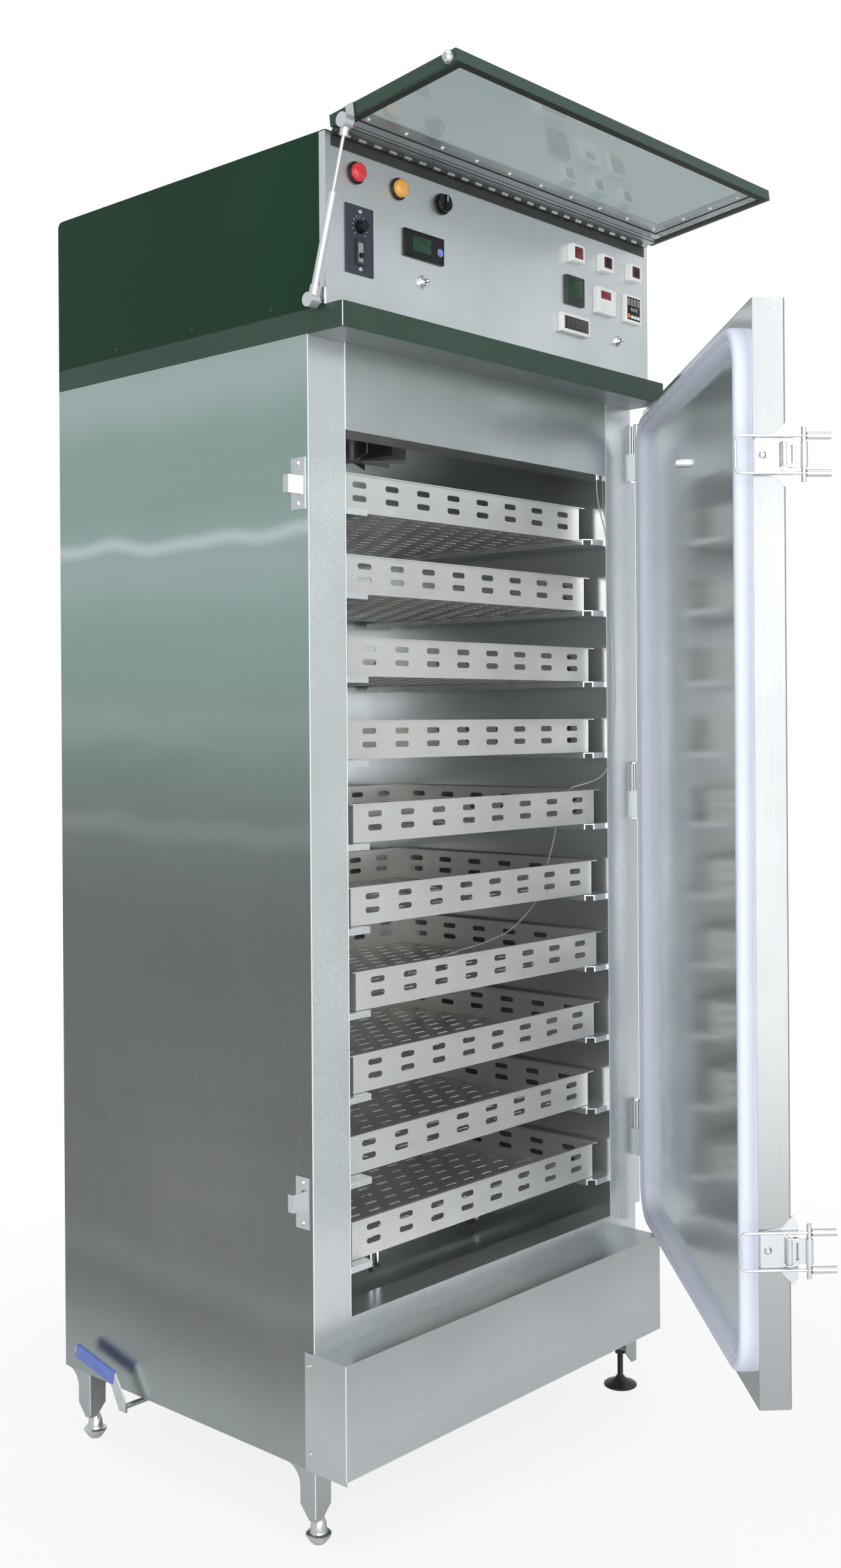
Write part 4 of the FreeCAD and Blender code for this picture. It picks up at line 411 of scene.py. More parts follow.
HINGE_DARK = Finish("hinge_dark", (0.05, 0.052, 0.05), (0.12, 0.125, 0.12), 0.7, 0.4, 0.12, 25.0)
DARK_STEEL = Finish("dark_steel", (0.035, 0.035, 0.037), (0.08, 0.08, 0.082), 0.5, 0.42, 0.12, 30.0)
BLACK_RUBBER = Finish("black_rubber", (0.014, 0.014, 0.014), (0.03, 0.03, 0.03), 0.0, 0.62, 0.1, gleam=0.3)
GASKET_SILICONE = Finish("gasket_silicone", (0.72, 0.745, 0.85), (0.58, 0.61, 0.72), 0.0, 0.46, 0.07, 6.0,
                         speckle_scale=900.0, marks=(0.0, 0.35, 0.2))
BLACK_GLOSS = Finish("black_gloss", (0.009, 0.009, 0.01), (0.018, 0.018, 0.02), 0.0, 0.22, 0.05, 30.0, gleam=0.2)
BLACK_SATIN = Finish("black_satin", (0.02, 0.02, 0.022), (0.045, 0.045, 0.048), 0.0, 0.45, 0.08, 40.0)
SLATE_PLATE = Finish("slate_plate", (0.03, 0.036, 0.052), (0.05, 0.058, 0.078), 0.0, 0.42, 0.07, 20.0, gleam=0.3)
WHITE_PLASTIC = Finish("white_plastic", (0.8, 0.8, 0.79), (0.66, 0.66, 0.65), 0.0, 0.36, 0.06, 30.0)
GREY_PLASTIC = Finish("grey_plastic", (0.3, 0.31, 0.31), (0.2, 0.21, 0.21), 0.0, 0.45, 0.08, 40.0)
GREEN_SCREEN = Finish("green_screen", (0.012, 0.045, 0.022), (0.02, 0.062, 0.032), 0.0, 0.16, 0.04, 40.0, gleam=0.3)
RED_SCREEN = Finish("red_screen", (0.19, 0.012, 0.014), (0.11, 0.008, 0.01), 0.0, 0.2, 0.04, 60.0)
DARK_SCREEN = Finish("dark_screen", (0.02, 0.018, 0.018), (0.034, 0.03, 0.03), 0.0, 0.2, 0.04, 40.0)
DIGIT_PALE = Finish("digit_pale", (0.5, 0.51, 0.5), (0.36, 0.37, 0.36), 0.0, 0.4, 0.05, 80.0)
DIGIT_DIM = Finish("digit_dim", (0.075, 0.07, 0.07), (0.05, 0.048, 0.048), 0.0, 0.4, 0.05, 80.0)
RED_LENS = Finish("red_lens", (0.58, 0.022, 0.03), (0.42, 0.012, 0.018), 0.0, 0.22, 0.05, 90.0, coat=0.6, glow=0.12)
YELLOW_LENS = Finish("yellow_lens", (0.68, 0.33, 0.05), (0.55, 0.22, 0.03), 0.0, 0.22, 0.05, 90.0, coat=0.6,
                     glow=0.12)
RED_ROCKER = Finish("red_rocker", (0.18, 0.02, 0.02), (0.11, 0.012, 0.012), 0.0, 0.3, 0.06, 90.0)
ORANGE_KEY = Finish("orange_key", (0.7, 0.2, 0.05), (0.55, 0.14, 0.03), 0.0, 0.4, 0.05, 90.0)
BLUE_KEY = Finish("blue_key", (0.12, 0.18, 0.62), (0.3, 0.36, 0.8), 0.0, 0.3, 0.05, 120.0)
BLUE_SLEEVE = Finish("blue_sleeve", (0.11, 0.17, 0.5), (0.2, 0.27, 0.62), 0.0, 0.4, 0.08, 60.0)
VALVE_STEEL = Finish("valve_steel", (0.42, 0.42, 0.4), (0.26, 0.26, 0.25), 1.0, 0.35, 0.1, 40.0)
LEAD_COVER = Finish("lead_cover", (0.5, 0.49, 0.46), (0.36, 0.35, 0.33), 0.1, 0.42, 0.08, 60.0)
FOAM = Finish("foam", (0.72, 0.6, 0.36), (0.6, 0.48, 0.26), 0.0, 0.9, 0.05, 30.0, relief=0.0004)
LID_GLASS = Finish("lid_glass_pane", (0.42, 0.49, 0.49), (0.36, 0.43, 0.43), 0.0, 0.06, 0.02, 3.0, relief=0.000002,
                   clear=0.85, marks=(0.0, 0.6, 0.0))


def shift(spot: Spot) -> Matrix:
    """Matrix of a move.

    Args:
        spot: Where the origin moves to.

    Returns:
        The matrix.
    """
    return Matrix.Translation(spot)


def turn(angle: float, axis: str) -> Matrix:
    """Matrix of a turn about an axis through the origin.

    Args:
        angle: Angle in degrees.
        axis: Letter of the axis.

    Returns:
        The matrix.
    """
    return Matrix.Rotation(math.radians(angle), 4, axis)


LID_OPEN = shift((0, -0.041, 1.88)) @ turn(-97, "X")
DOOR_OPEN = shift((0.376, -0.009, 0.0)) @ turn(44.7, "Z")


class Bench:
    """Modelling steps that several pieces share."""

    @staticmethod
    def clear() -> None:
        """Leave edit mode and select nothing."""
        if bpy.context.object and bpy.context.object.mode != "OBJECT":
            bpy.ops.object.mode_set(mode="OBJECT")
        bpy.ops.object.select_all(action="DESELECT")

    @staticmethod
    def edit_all() -> None:
        """Enter edit mode with everything selected."""
        bpy.ops.object.mode_set(mode="EDIT")
        bpy.ops.mesh.select_all(action="SELECT")

    @staticmethod
    def leave() -> None:
        """Leave edit mode."""
        bpy.ops.object.mode_set(mode="OBJECT")

    @staticmethod
    def push(x: float, y: float, z: float) -> None:
        """Extrude what is selected.

        Args:
            x: Way to the right.
            y: Way to the back.
            z: Way up.
        """
        bpy.ops.mesh.extrude_region_move(TRANSFORM_OT_translate={"value": (x, y, z)})

    @staticmethod
    def choose(piece: Piece, faces: list[int]) -> None:
        """Enter edit mode with some faces selected.

        Args:
            piece: The piece.
            faces: Numbers of the faces.
        """
        Bench.pick(piece)
        bpy.ops.object.mode_set(mode="EDIT")
        bpy.ops.mesh.select_mode(type="FACE")
        bpy.ops.mesh.select_all(action="DESELECT")
        Bench.leave()
        for index in faces:
            piece.data.polygons[index].select = True
        bpy.ops.object.mode_set(mode="EDIT")

    @staticmethod
    def pick(piece: Piece) -> None:
        """Select one piece and make it active.

        Args:
            piece: The piece.
        """
        Bench.clear()
        piece.select_set(True)
        bpy.context.view_layer.objects.active = piece

    @staticmethod
    def settle(piece: Piece, name: str) -> Piece:
        """Name a piece and put its place, turn and size in its mesh.

        Args:
            piece: The piece.
            name: Its name.

        Returns:
            The piece.
        """
        piece.name = name
        piece.data.name = name
        Bench.pick(piece)
        bpy.ops.object.transform_apply(location=True, rotation=True, scale=True)
        return piece

    @staticmethod
    def finish(piece: Piece, finish: Finish, body: str = "cabinet", angle: float = 35.0) -> Piece:
        """Turn faces outwards, smooth soft edges, give the piece its material and its body.

        Args:
            piece: The piece.
            finish: Its finish.
            body: Name of the body that it rides on.
            angle: Largest angle in degrees that is shaded smooth.

        Returns:
            The piece.
        """
        Bench.pick(piece)
        Bench.edit_all()
        bpy.ops.mesh.remove_doubles(threshold=JOIN_DISTANCE)
        bpy.ops.mesh.normals_make_consistent(inside=False)
        Bench.leave()
        bpy.ops.object.shade_smooth_by_angle(angle=math.radians(angle))
        piece.data.materials.clear()
        piece.data.materials.append(finish.build())
        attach(piece, body)
        return piece

    @staticmethod
    def block(name: str, low: Spot, high: Spot, edge: float = 0.0, segments: int = 2) -> Piece:
        """Block between two corners with rounded edges.

        Args:
            name: Name of the piece.
            low: Lowest corner.
            high: Highest corner.
            edge: Size of the rounding.
            segments: Steps of the rounding.

        Returns:
            The piece.
        """
        Bench.clear()
        middle = [(a + b) / 2 for a, b in zip(low, high)]
        bpy.ops.mesh.primitive_cube_add(size=1, location=middle)
        piece = bpy.context.object
        piece.scale = [b - a for a, b in zip(low, high)]
        Bench.settle(piece, name)
        if edge:
            Bench.edit_all()
            bpy.ops.mesh.bevel(offset=edge, segments=segments, affect="EDGES", profile=0.5)
            Bench.leave()
        return piece

    @staticmethod
    def blocks(name: str, corners: Sequence[tuple[Spot, Spot]], edge: float, segments: int) -> Piece:
        """Several blocks in one piece.

        Args:
            name: Name of the piece.
            corners: Lowest and highest corner of each block.
            edge: Size of the rounding.
            segments: Steps of the rounding.

        Returns:
            The piece.
        """
        return Bench.join([Bench.block("part", low, high, edge, segments) for low, high in corners], name)

    @staticmethod
    def select_face(piece: Piece, direction: Spot) -> None:
        """Enter edit mode with the largest face towards a direction selected.

        Args:
            piece: The piece.
            direction: Direction that the face looks to.
        """
        facing = [face for face in piece.data.polygons if face.normal.dot(Vector(direction)) > 0.99]
        Bench.choose(piece, [max(facing, key=lambda face: face.area).index])

    @staticmethod
    def recess(piece: Piece, direction: Spot, rim: float, depth: float, soften: float = 0.0) -> None:
        """Sink the largest face towards a direction behind a rim.

        Args:
            piece: The piece.
            direction: Direction that the face looks to.
            rim: Width of the rim.
            depth: Depth of the recess.
            soften: How much the recess narrows on its way in.
        """
        Bench.select_face(piece, direction)
        bpy.ops.mesh.inset(thickness=rim)
        Bench.push(*(-depth * part for part in direction))
        if soften:
            bpy.ops.mesh.inset(thickness=soften)
        Bench.leave()

    @staticmethod
    def turned(name: str, steps: Steps, place: Spot, facing: Facing,
               sides: int = 32) -> Piece:
        """Turned piece from the steps of its outline.

        Args:
            name: Name of the piece.
            steps: Radius and height of each step, from the base.
            place: Point of the base's centre.
            facing: Side that the piece points to.
            sides: Number of sides.

        Returns:
            The piece.
        """
        Bench.clear()
        radius, height = steps[0]
        bpy.ops.mesh.primitive_circle_add(vertices=sides, radius=radius, fill_type="NGON", location=(0, 0, height))
        piece = bpy.context.object
        bpy.ops.object.transform_apply(location=True, rotation=True, scale=True)
        Bench.edit_all()
        for step_radius, step_height in steps[1:]:
            Bench.push(0, 0, step_height - height)
            share = step_radius / radius
            bpy.ops.transform.resize(value=(share, share, 1))
            radius, height = step_radius, step_height
        Bench.leave()
        piece.rotation_euler = facing.value
        piece.location = place
        return Bench.settle(piece, name)

    @staticmethod
    def copies(piece: Piece, moves: list[Matrix], name: str) -> Piece:
        """Copies of a piece at several places, joined to one object. The first piece is used up.

        Args:
            piece: The piece.
            moves: Matrix of each copy's place.
            name: Name of the result.

        Returns:
            The joined piece.
        """
        made = []
        for move in moves:
            twin = piece.copy()
            twin.data = piece.data.copy()
            twin.data.transform(move)
            bpy.context.collection.objects.link(twin)
            made.append(twin)
        bpy.data.objects.remove(piece)
        return Bench.join(made, name)

    @staticmethod
    def join(pieces: list[Piece], name: str) -> Piece:
        """Join pieces to one object.

        Args:
            pieces: The pieces.
            name: Name of the result.

        Returns:
            The joined piece.
        """
        Bench.pick(pieces[0])
        for piece in pieces[1:]:
            piece.select_set(True)
        if len(pieces) > 1:
            bpy.ops.object.join()
        pieces[0].name = name
        pieces[0].data.name = name
        return pieces[0]

    @staticmethod
    def screw(name: str, radius: float, height: float, facing: Facing) -> Piece:
        """Pan head screw with a cross recess, at the origin.

        Args:
            name: Name of the piece.
            radius: Radius of the head.
            height: Height of the head.
            facing: Side that the head looks to.

        Returns:
            The piece.
        """
        head = Bench.turned(name, [(radius, 0), (radius, height * 0.35), (radius * 0.9, height * 0.75),
                                   (radius * 0.62, height * 0.97), (radius * 0.42, height)], ORIGIN, Facing.UP, 16)
        Bench.select_face(head, (0, 0, 1))
        Bench.push(0, 0, -height * 0.35)
        bpy.ops.transform.resize(value=(0.55, 0.55, 1))
        Bench.leave()
        head.rotation_euler = facing.value
        return Bench.settle(head, name)


DRESSES = (
    (SIDE_STEEL, "outer_shell"), (FRONT_STEEL, "front_frame"), (LINER_STEEL, "liner"), (APRON_STEEL, "apron"),
    (FOAM, "insulation door_foam"), (LEG_STEEL, "legs"), (RAIL_STEEL, "tray_rails"), (WHITE_PLASTIC, "electrics"),
    (CHROME, "supply_fittings heater_element strikes drain_lever lid_fittings strut_bracket toggle_1 toggle_2"),
    (CHROME, "latch_bases latch_lever_upper latch_lever_lower latch_bail_upper latch_bail_lower"),
    (DARK_STEEL, "fan_motor"), (FAN_STEEL, "fan_rotor"), (VALVE_STEEL, "drain_valve"), (GREEN_PAINT, "head_casing"),
    (BAND_GREEN, "head_band lid_frame"), (PANEL_STEEL, "control_panel"), (TRIM_STEEL, "lid_trim"),
    (LID_GLASS, "lid_glass"), (BLACK_RUBBER, "lid_seal"), (HINGE_DARK, "panel_hinge"),
    (STRUT_SILVER, "strut_cylinder strut_rod"), (BLACK_GLOSS, "speed_knob speed_switch selector_knob"),
    (BLUE_KEY, "display_button"), (DOOR_STEEL, "door_skin"), (DOOR_LINER_STEEL, "door_liner"),
    (HINGE_STEEL, "door_hinge_arms door_hinge_leaves"),
    (TRAY_STEEL, " ".join(f"tray_{number}" for number in range(1, 11))),
)


def dress() -> None:
    """Give the shown CAD nodes their finishes."""
    for finish, names in DRESSES:
        for name in names.split():
            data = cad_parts[name].data
            data.materials.clear()
            data.materials.append(finish.build())
        LOG.info("dressed %s with %s", names, finish.name)


@dataclass
class Body:
    """Shell, front, liner, legs and apron of the cabinet."""

    apron_left: float = -0.3715

    def build(self) -> None:
        """Add screws, feet, seams and the drain lever's sleeve."""
        self.apron_screws()
        self.feet()
        self.seams()
        self.drain_handle()

    def apron_screws(self) -> None:
        """Screws that hold the apron's left wrap."""
        screw = Bench.screw("apron_screw", 0.0035, 0.002, Facing.LEFT)
        moves = [shift((self.apron_left, 0.008, level)) for level in (0.247, 0.13)]
        screws = Bench.copies(screw, moves, "apron_screws")
        Bench.finish(screws, SCREW_STEEL)

    def feet(self) -> None:
        """Levelling feet: three bright glides, and a dark disc at the front right."""
        disc = [(0.025, 0.0), (0.027, 0.0012), (0.027, 0.0032), (0.0255, 0.0045), (0.016, 0.0085), (0.009, 0.0125),
                (0.007, 0.016)]
        glide = [(0.005, 0.0), (0.0085, 0.0015), (0.0115, 0.0045), (0.0145, 0.0085), (0.0165, 0.0118),
                 (0.0173, 0.0128), (0.0173, 0.0148), (0.0165, 0.0155), (0.0122, 0.0162), (0.0112, 0.02),
                 (0.0105, 0.028), (0.0086, 0.033), (0.007, 0.038)]
        nut = [(0.0049, 0.054), (0.0085, 0.0545), (0.0085, 0.0617), (0.0049, 0.0619)]
        for place, (x, y) in enumerate(((-0.348, 0.017), (0.348, 0.017), (-0.348, 0.511), (0.348, 0.511))):
            dark = place == 1
            start, turns = (0.0165, 30) if dark else (0.038, 13)
            thread = [(radius, start + 0.00125 * step) for step, radius in enumerate((0.0049, 0.0042) * (turns // 2))]
            base = Bench.turned(f"foot_base_{place + 1}", disc if dark else glide, (x, y, 0), Facing.UP, 40)
            stem = Bench.turned(f"foot_stem_{place + 1}", thread + nut + [(0.0049, 0.0745)], (x, y, 0), Facing.UP, 24)
            Bench.finish(base, DARK_STEEL if dark else CHROME)
            Bench.finish(stem, DARK_STEEL if dark else SCREW_STEEL)
        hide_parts("feet")

    def seams(self) -> None:
        """Welded seams beside the header, drawn as painted highlights, and painted highlight lines on the front's
        folded corners.
        """
        for word, x in (("left", -0.3), ("right", 0.3)):
            # Bright strip at each seam: the seam is real, its brightness is a painted highlight.
            seam = Bench.block(f"header_seam_{word}", (x - 0.0005, -0.0007, 1.5), (x + 0.0005, 0.0002, BODY_TOP),
                               0.0001, 1)
            Bench.finish(seam, PAINTED_HIGHLIGHT_EDGE)
        # Header face: carries the header's painted shade at its top.
        header = Bench.block("header_face", (-0.2994, -0.0004, 1.5004), (0.2994, 0.0002, BODY_TOP - 0.0004), 0.0001, 1)
        Bench.finish(header, HEADER_STEEL)
        soffit = Bench.block("head_soffit", (-0.3685, -0.0643, BODY_TOP - 0.0005), (0.3685, -0.0008, BODY_TOP + 0.0001),
                             0.0001, 1)
        Bench.finish(soffit, SOFFIT_STEEL)
        # Thin light strips on corners and edges: painted highlights.
        painted_highlights = Bench.blocks("painted_highlight_lines", (
            ((-0.3703, -0.0003, 0.264), (-0.3692, 0.0008, BODY_TOP)),
            ((-0.3718, -0.0603, 0.1125), (-0.3708, -0.0592, 0.2635)),
            ((-0.3703, -0.0003, 0.045), (-0.3692, 0.0008, 0.106)),
            ((-0.3703, 0.4937, 0.045), (-0.3692, 0.4948, 0.106)),
            ((-0.3703, -0.0663, 1.6185), (-0.3692, -0.0652, 1.6515)),
            ((-0.3009, -0.0003, 0.296), (-0.2999, 0.0008, 1.499)),
            ((0.2999, -0.0003, 0.296), (0.3009, 0.0008, 1.499))), 0.0003, 2)
        Bench.finish(painted_highlights, PAINTED_HIGHLIGHT_EDGE)
        strips = Bench.blocks("hinge_side_strips", [
            ((0.3698, 0.0008, low), (0.3845, 0.0022, high))
            for low, high in ((0.3, 0.378), (0.472, 0.938), (1.032, 1.498))], 0.0003, 1)
        Bench.finish(strips, FRONT_STEEL)

    def drain_handle(self) -> None:
        """Soft blue sleeve over the drain valve's bright crank."""
        sleeve = Bench.block("drain_sleeve", (-0.00352, -0.0462, -0.0097), (0.00352, 0.0462, 0.0097), 0.001, 3)
        sleeve.rotation_euler = (math.radians(11.9), 0.0, 0.0)
        sleeve.location = (-0.391, 0.4515, 0.1413)
        Bench.finish(Bench.settle(sleeve, "drain_sleeve"), BLUE_SLEEVE, "drain_handle")


# Line of the sensor lead in millimetres
LEAD_ROUTE = (
    (292, 12, 1494), (292, 12, 1479), (292.8, 11, 1462), (294.5, 7, 1440), (296.5, -3, 1405), (299.5, -5.5, 1375),
    (304, -5, 1340), (309, -4, 1295), (313.5, -4.5, 1245), (316, -4, 1195), (316.5, -4.5, 1150), (315, -4, 1110),
    (310, -4.5, 1072), (301, -5, 1040), (286, -6, 1017), (262, -4, 1006), (236, 3, 1000), (224, 20, 995),
    (227, 40, 972), (238, 59, 948), (240, 60, 932), (234, 60.5, 908), (223, 61, 882), (212, 64, 852), (203, 66, 824),
    (180, 61, 806), (150, 60, 788), (115, 60, 771), (80, 58, 765), (40, 57, 759), (0, 55, 757), (-40, 54, 753),
    (-78, 56, 743), (-108, 62, 727), (-135, 72, 713.5), (-165, 84, 709.5),
)


@dataclass
class Lead:
    """Sensor lead that hangs between the trays, with its steel tip."""

    radius: float = 0.0011

    def build(self) -> None:
        """Lay the lead and add its tip."""
        curve = bpy.data.curves.new("sensor_lead_line", "CURVE")
        curve.dimensions = "3D"
        spline = curve.splines.new("NURBS")
        spline.points.add(len(LEAD_ROUTE) - 1)
        for point, (x, y, z) in zip(spline.points, LEAD_ROUTE):
            point.co = (x / 1000, y / 1000, z / 1000, 1)
        spline.order_u = 3
        spline.use_endpoint_u = True
        spline.resolution_u = 8
        curve.bevel_depth = self.radius
        curve.bevel_resolution = 3
        curve.use_fill_caps = True
        lead = bpy.data.objects.new("hanging_lead", curve)
        bpy.context.collection.objects.link(lead)
        lead.data.materials.append(LEAD_COVER.build())
        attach(lead, "cabinet")
        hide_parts("sensor_lead")
        steps = ((0.0014, 0), (0.0018, 0.0008), (0.0018, 0.025), (0.0014, 0.028), (0.0006, 0.029))
        tip = Bench.turned("lead_tip", steps, ORIGIN, Facing.UP, 16)
        tip.rotation_euler = (0.0, -math.pi / 2, math.radians(-21.8))
        tip.location = (-0.1645, 0.0838, 0.7093)
        Bench.finish(Bench.settle(tip, "lead_tip"), CHROME)


@dataclass
class Head:
    """Casing, band, panel and lid."""

    casing_screws: tuple[float, ...] = (0.07, 0.235, 0.41)

    def build(self) -> None:
        """Add the head's seam and the lid's edging and screws."""
        self.seam()
        self.lid_edging()
        self.lid_screws()

    def seam(self) -> None:
        """Dark sealing strip in the joint of casing and band, with its screws."""
        strip = Bench.block("casing_seal", (-0.3704, -0.02, 1.6505), (0.3704, 0.5564, 1.6522), 0.0003, 1)
        Bench.finish(strip, BLACK_RUBBER)
        screw = Bench.screw("seam_screw", 0.0035, 0.0018, Facing.LEFT)
        screws = Bench.copies(screw, [shift((-0.37, y, 1.6615)) for y in self.casing_screws], "seam_screws")
        Bench.finish(screws, DARK_STEEL)

    def lid_edging(self) -> None:
        """Rubber edging round the lid's lip, with the steel flange at its hinge and right sides."""
        edging = Bench.blocks("lid_edging", (
            ((-0.3635, -0.0002, -0.2262), (0.3635, 0.0007, -0.2155)),
            ((-0.3635, -0.0002, -0.0191), (0.3635, 0.0007, -0.0086)),
            ((-0.3635, -0.0002, -0.2156), (-0.3527, 0.0007, -0.019)),
            ((0.3527, -0.0002, -0.2156), (0.3635, 0.0007, -0.019))), 0.0003, 1)
        edging.data.transform(LID_OPEN)
        Bench.finish(edging, BLACK_RUBBER, "lid")
        flange = Bench.blocks("lid_flange", (
            ((-0.3525, -0.0003, -0.024), (0.3525, 0.0003, -0.0193)),
            ((-0.3485, -0.0098, -0.05), (0.3485, -0.0092, -0.0285)),
            ((0.3235, -0.0098, -0.2145), (0.3485, -0.0092, -0.05))), 0.0002, 1)
        flange.data.transform(LID_OPEN)
        Bench.finish(flange, TRIM_STEEL, "lid")

    def lid_screws(self) -> None:
        """White screws along the lid's steel flange."""
        screw = Bench.screw("lid_screw", 0.0028, 0.0014, Facing.FRONT)
        screw.data.transform(turn(180, "Z"))
        spots = [(-0.33 + 0.0733 * place, -0.0092, -0.037) for place in range(10)]
        spots += [(0.336, -0.0092, -0.09 - 0.05 * place) for place in range(3)]
        screws = Bench.copies(screw, [LID_OPEN @ shift(spot) for spot in spots], "lid_screws")
        Bench.finish(screws, WHITE_PLASTIC, "lid")


@dataclass(frozen=True)
class Plate:
    """Plate on the control panel.

    Attributes:
        name: Name of the piece.
        x: Side place of its middle.
        z: Height of its middle above the band.
        width: Its width.
        height: Its height.
        front: How far its front stands out from the panel.
        back: How far its back stands out.
        finish: Its finish.
        edge: Rounding of its edges.
        segments: Steps of the rounding.
        recess: Rim, depth and narrowing of a recess in its front, if any.
        count: Number of equal plates in a row.
        pitch: Distance between them.
    """

    name: str
    x: float
    z: float
    width: float
    height: float
    front: float
    back: float
    finish: Finish
    edge: float = 0.0004
    segments: int = 2
    recess: Spot | None = None
    count: int = 1
    pitch: float = 0.0

    def build(self, body: str = "cabinet") -> Piece:
        """Build the plate, or the row of plates.

        Args:
            body: Name of the body that it rides on.

        Returns:
            The last piece.
        """
        for place in range(self.count):
            name = self.name if self.count == 1 else f"{self.name}_{place + 1}"
            middle = self.x + self.pitch * place
            piece = self.blank(name, middle)
            if self.recess:
                Bench.recess(piece, TO_FRONT, *self.recess)
            Bench.finish(piece, self.finish, body)
        return piece

    def blank(self, name: str, middle: float) -> Piece:
        """Block of the plate's size on the panel.

        Args:
            name: Name of the piece.
            middle: Side place of its middle.

        Returns:
            The block.
        """
        level = PANEL_LEVEL + self.z
        return Bench.block(name, (middle - self.width / 2, PANEL_FACE - self.front, level - self.height / 2),
                           (middle + self.width / 2, PANEL_FACE - self.back, level + self.height / 2), self.edge,
                           self.segments)


PLATES = (
    Plate("display_housing", -0.18, 0.113, 0.082, 0.038, 0.004, -0.0002, BLACK_GLOSS, 0.001, 3,
          (0.0028, 0.0004, 0.0004)),
    Plate("display_screen", -0.186, 0.114, 0.038, 0.021, 0.0042, 0.0034, GREEN_SCREEN),
    Plate("thermostat_housing", 0.169, 0.118, 0.046, 0.045, 0.005, -0.0002, BLACK_SATIN, 0.0015, 3,
          (0.0022, 0.0008, 0.0004)),
    Plate("thermostat_face", 0.169, 0.118, 0.0395, 0.0385, 0.0048, 0.004, BLACK_SATIN, 0.0003),
    Plate("thermostat_screen", 0.169, 0.1215, 0.034, 0.027, 0.0053, 0.0045, GREEN_SCREEN),
    Plate("thermostat_key", 0.1565, 0.1038, 0.0058, 0.0042, 0.0057, 0.0045, BLACK_SATIN, count=4, pitch=0.0083),
    Plate("white_unit_housing", 0.244, 0.115, 0.05, 0.042, 0.01, -0.0002, WHITE_PLASTIC, 0.0018, 3,
          (0.0022, 0.0006, 0.0004)),
    Plate("white_unit_window", 0.242, 0.1235, 0.026, 0.0125, 0.0102, 0.0092, RED_SCREEN),
    Plate("white_unit_key", 0.2295, 0.1052, 0.0052, 0.0125, 0.0104, 0.0094, WHITE_PLASTIC, count=5, pitch=0.0072),
    Plate("timer_housing", 0.32, 0.116, 0.044, 0.045, 0.008, -0.0002, WHITE_PLASTIC, 0.0015, 3,
          (0.0026, 0.0008, 0.0004)),
    Plate("timer_face", 0.32, 0.116, 0.0375, 0.0385, 0.0078, 0.007, BLACK_GLOSS, 0.0003),
    Plate("timer_start_key", 0.3062, 0.1035, 0.0062, 0.0068, 0.0088, 0.0076, ORANGE_KEY),
    Plate("timer_key", 0.3155, 0.1028, 0.0068, 0.005, 0.0088, 0.0076, WHITE_PLASTIC, count=3, pitch=0.0085),
    Plate("meter_housing", 0.164, 0.064, 0.073, 0.03, 0.009, -0.0002, WHITE_PLASTIC, 0.0015, 3,
          (0.0035, 0.0008, 0.0004)),
    Plate("meter_screen", 0.166, 0.064, 0.061, 0.0215, 0.0088, 0.008, DARK_SCREEN, 0.0003),
    Plate("slide_frame", -0.308, 0.079, 0.018, 0.034, 0.0046, 0.002, BLACK_SATIN, 0.0006, 2,
          (0.003, 0.0016, 0.0003)),
    Plate("slide_scale", -0.3075, 0.079, 0.0105, 0.026, 0.0034, 0.0032, GREY_PLASTIC, 0.00005),
)


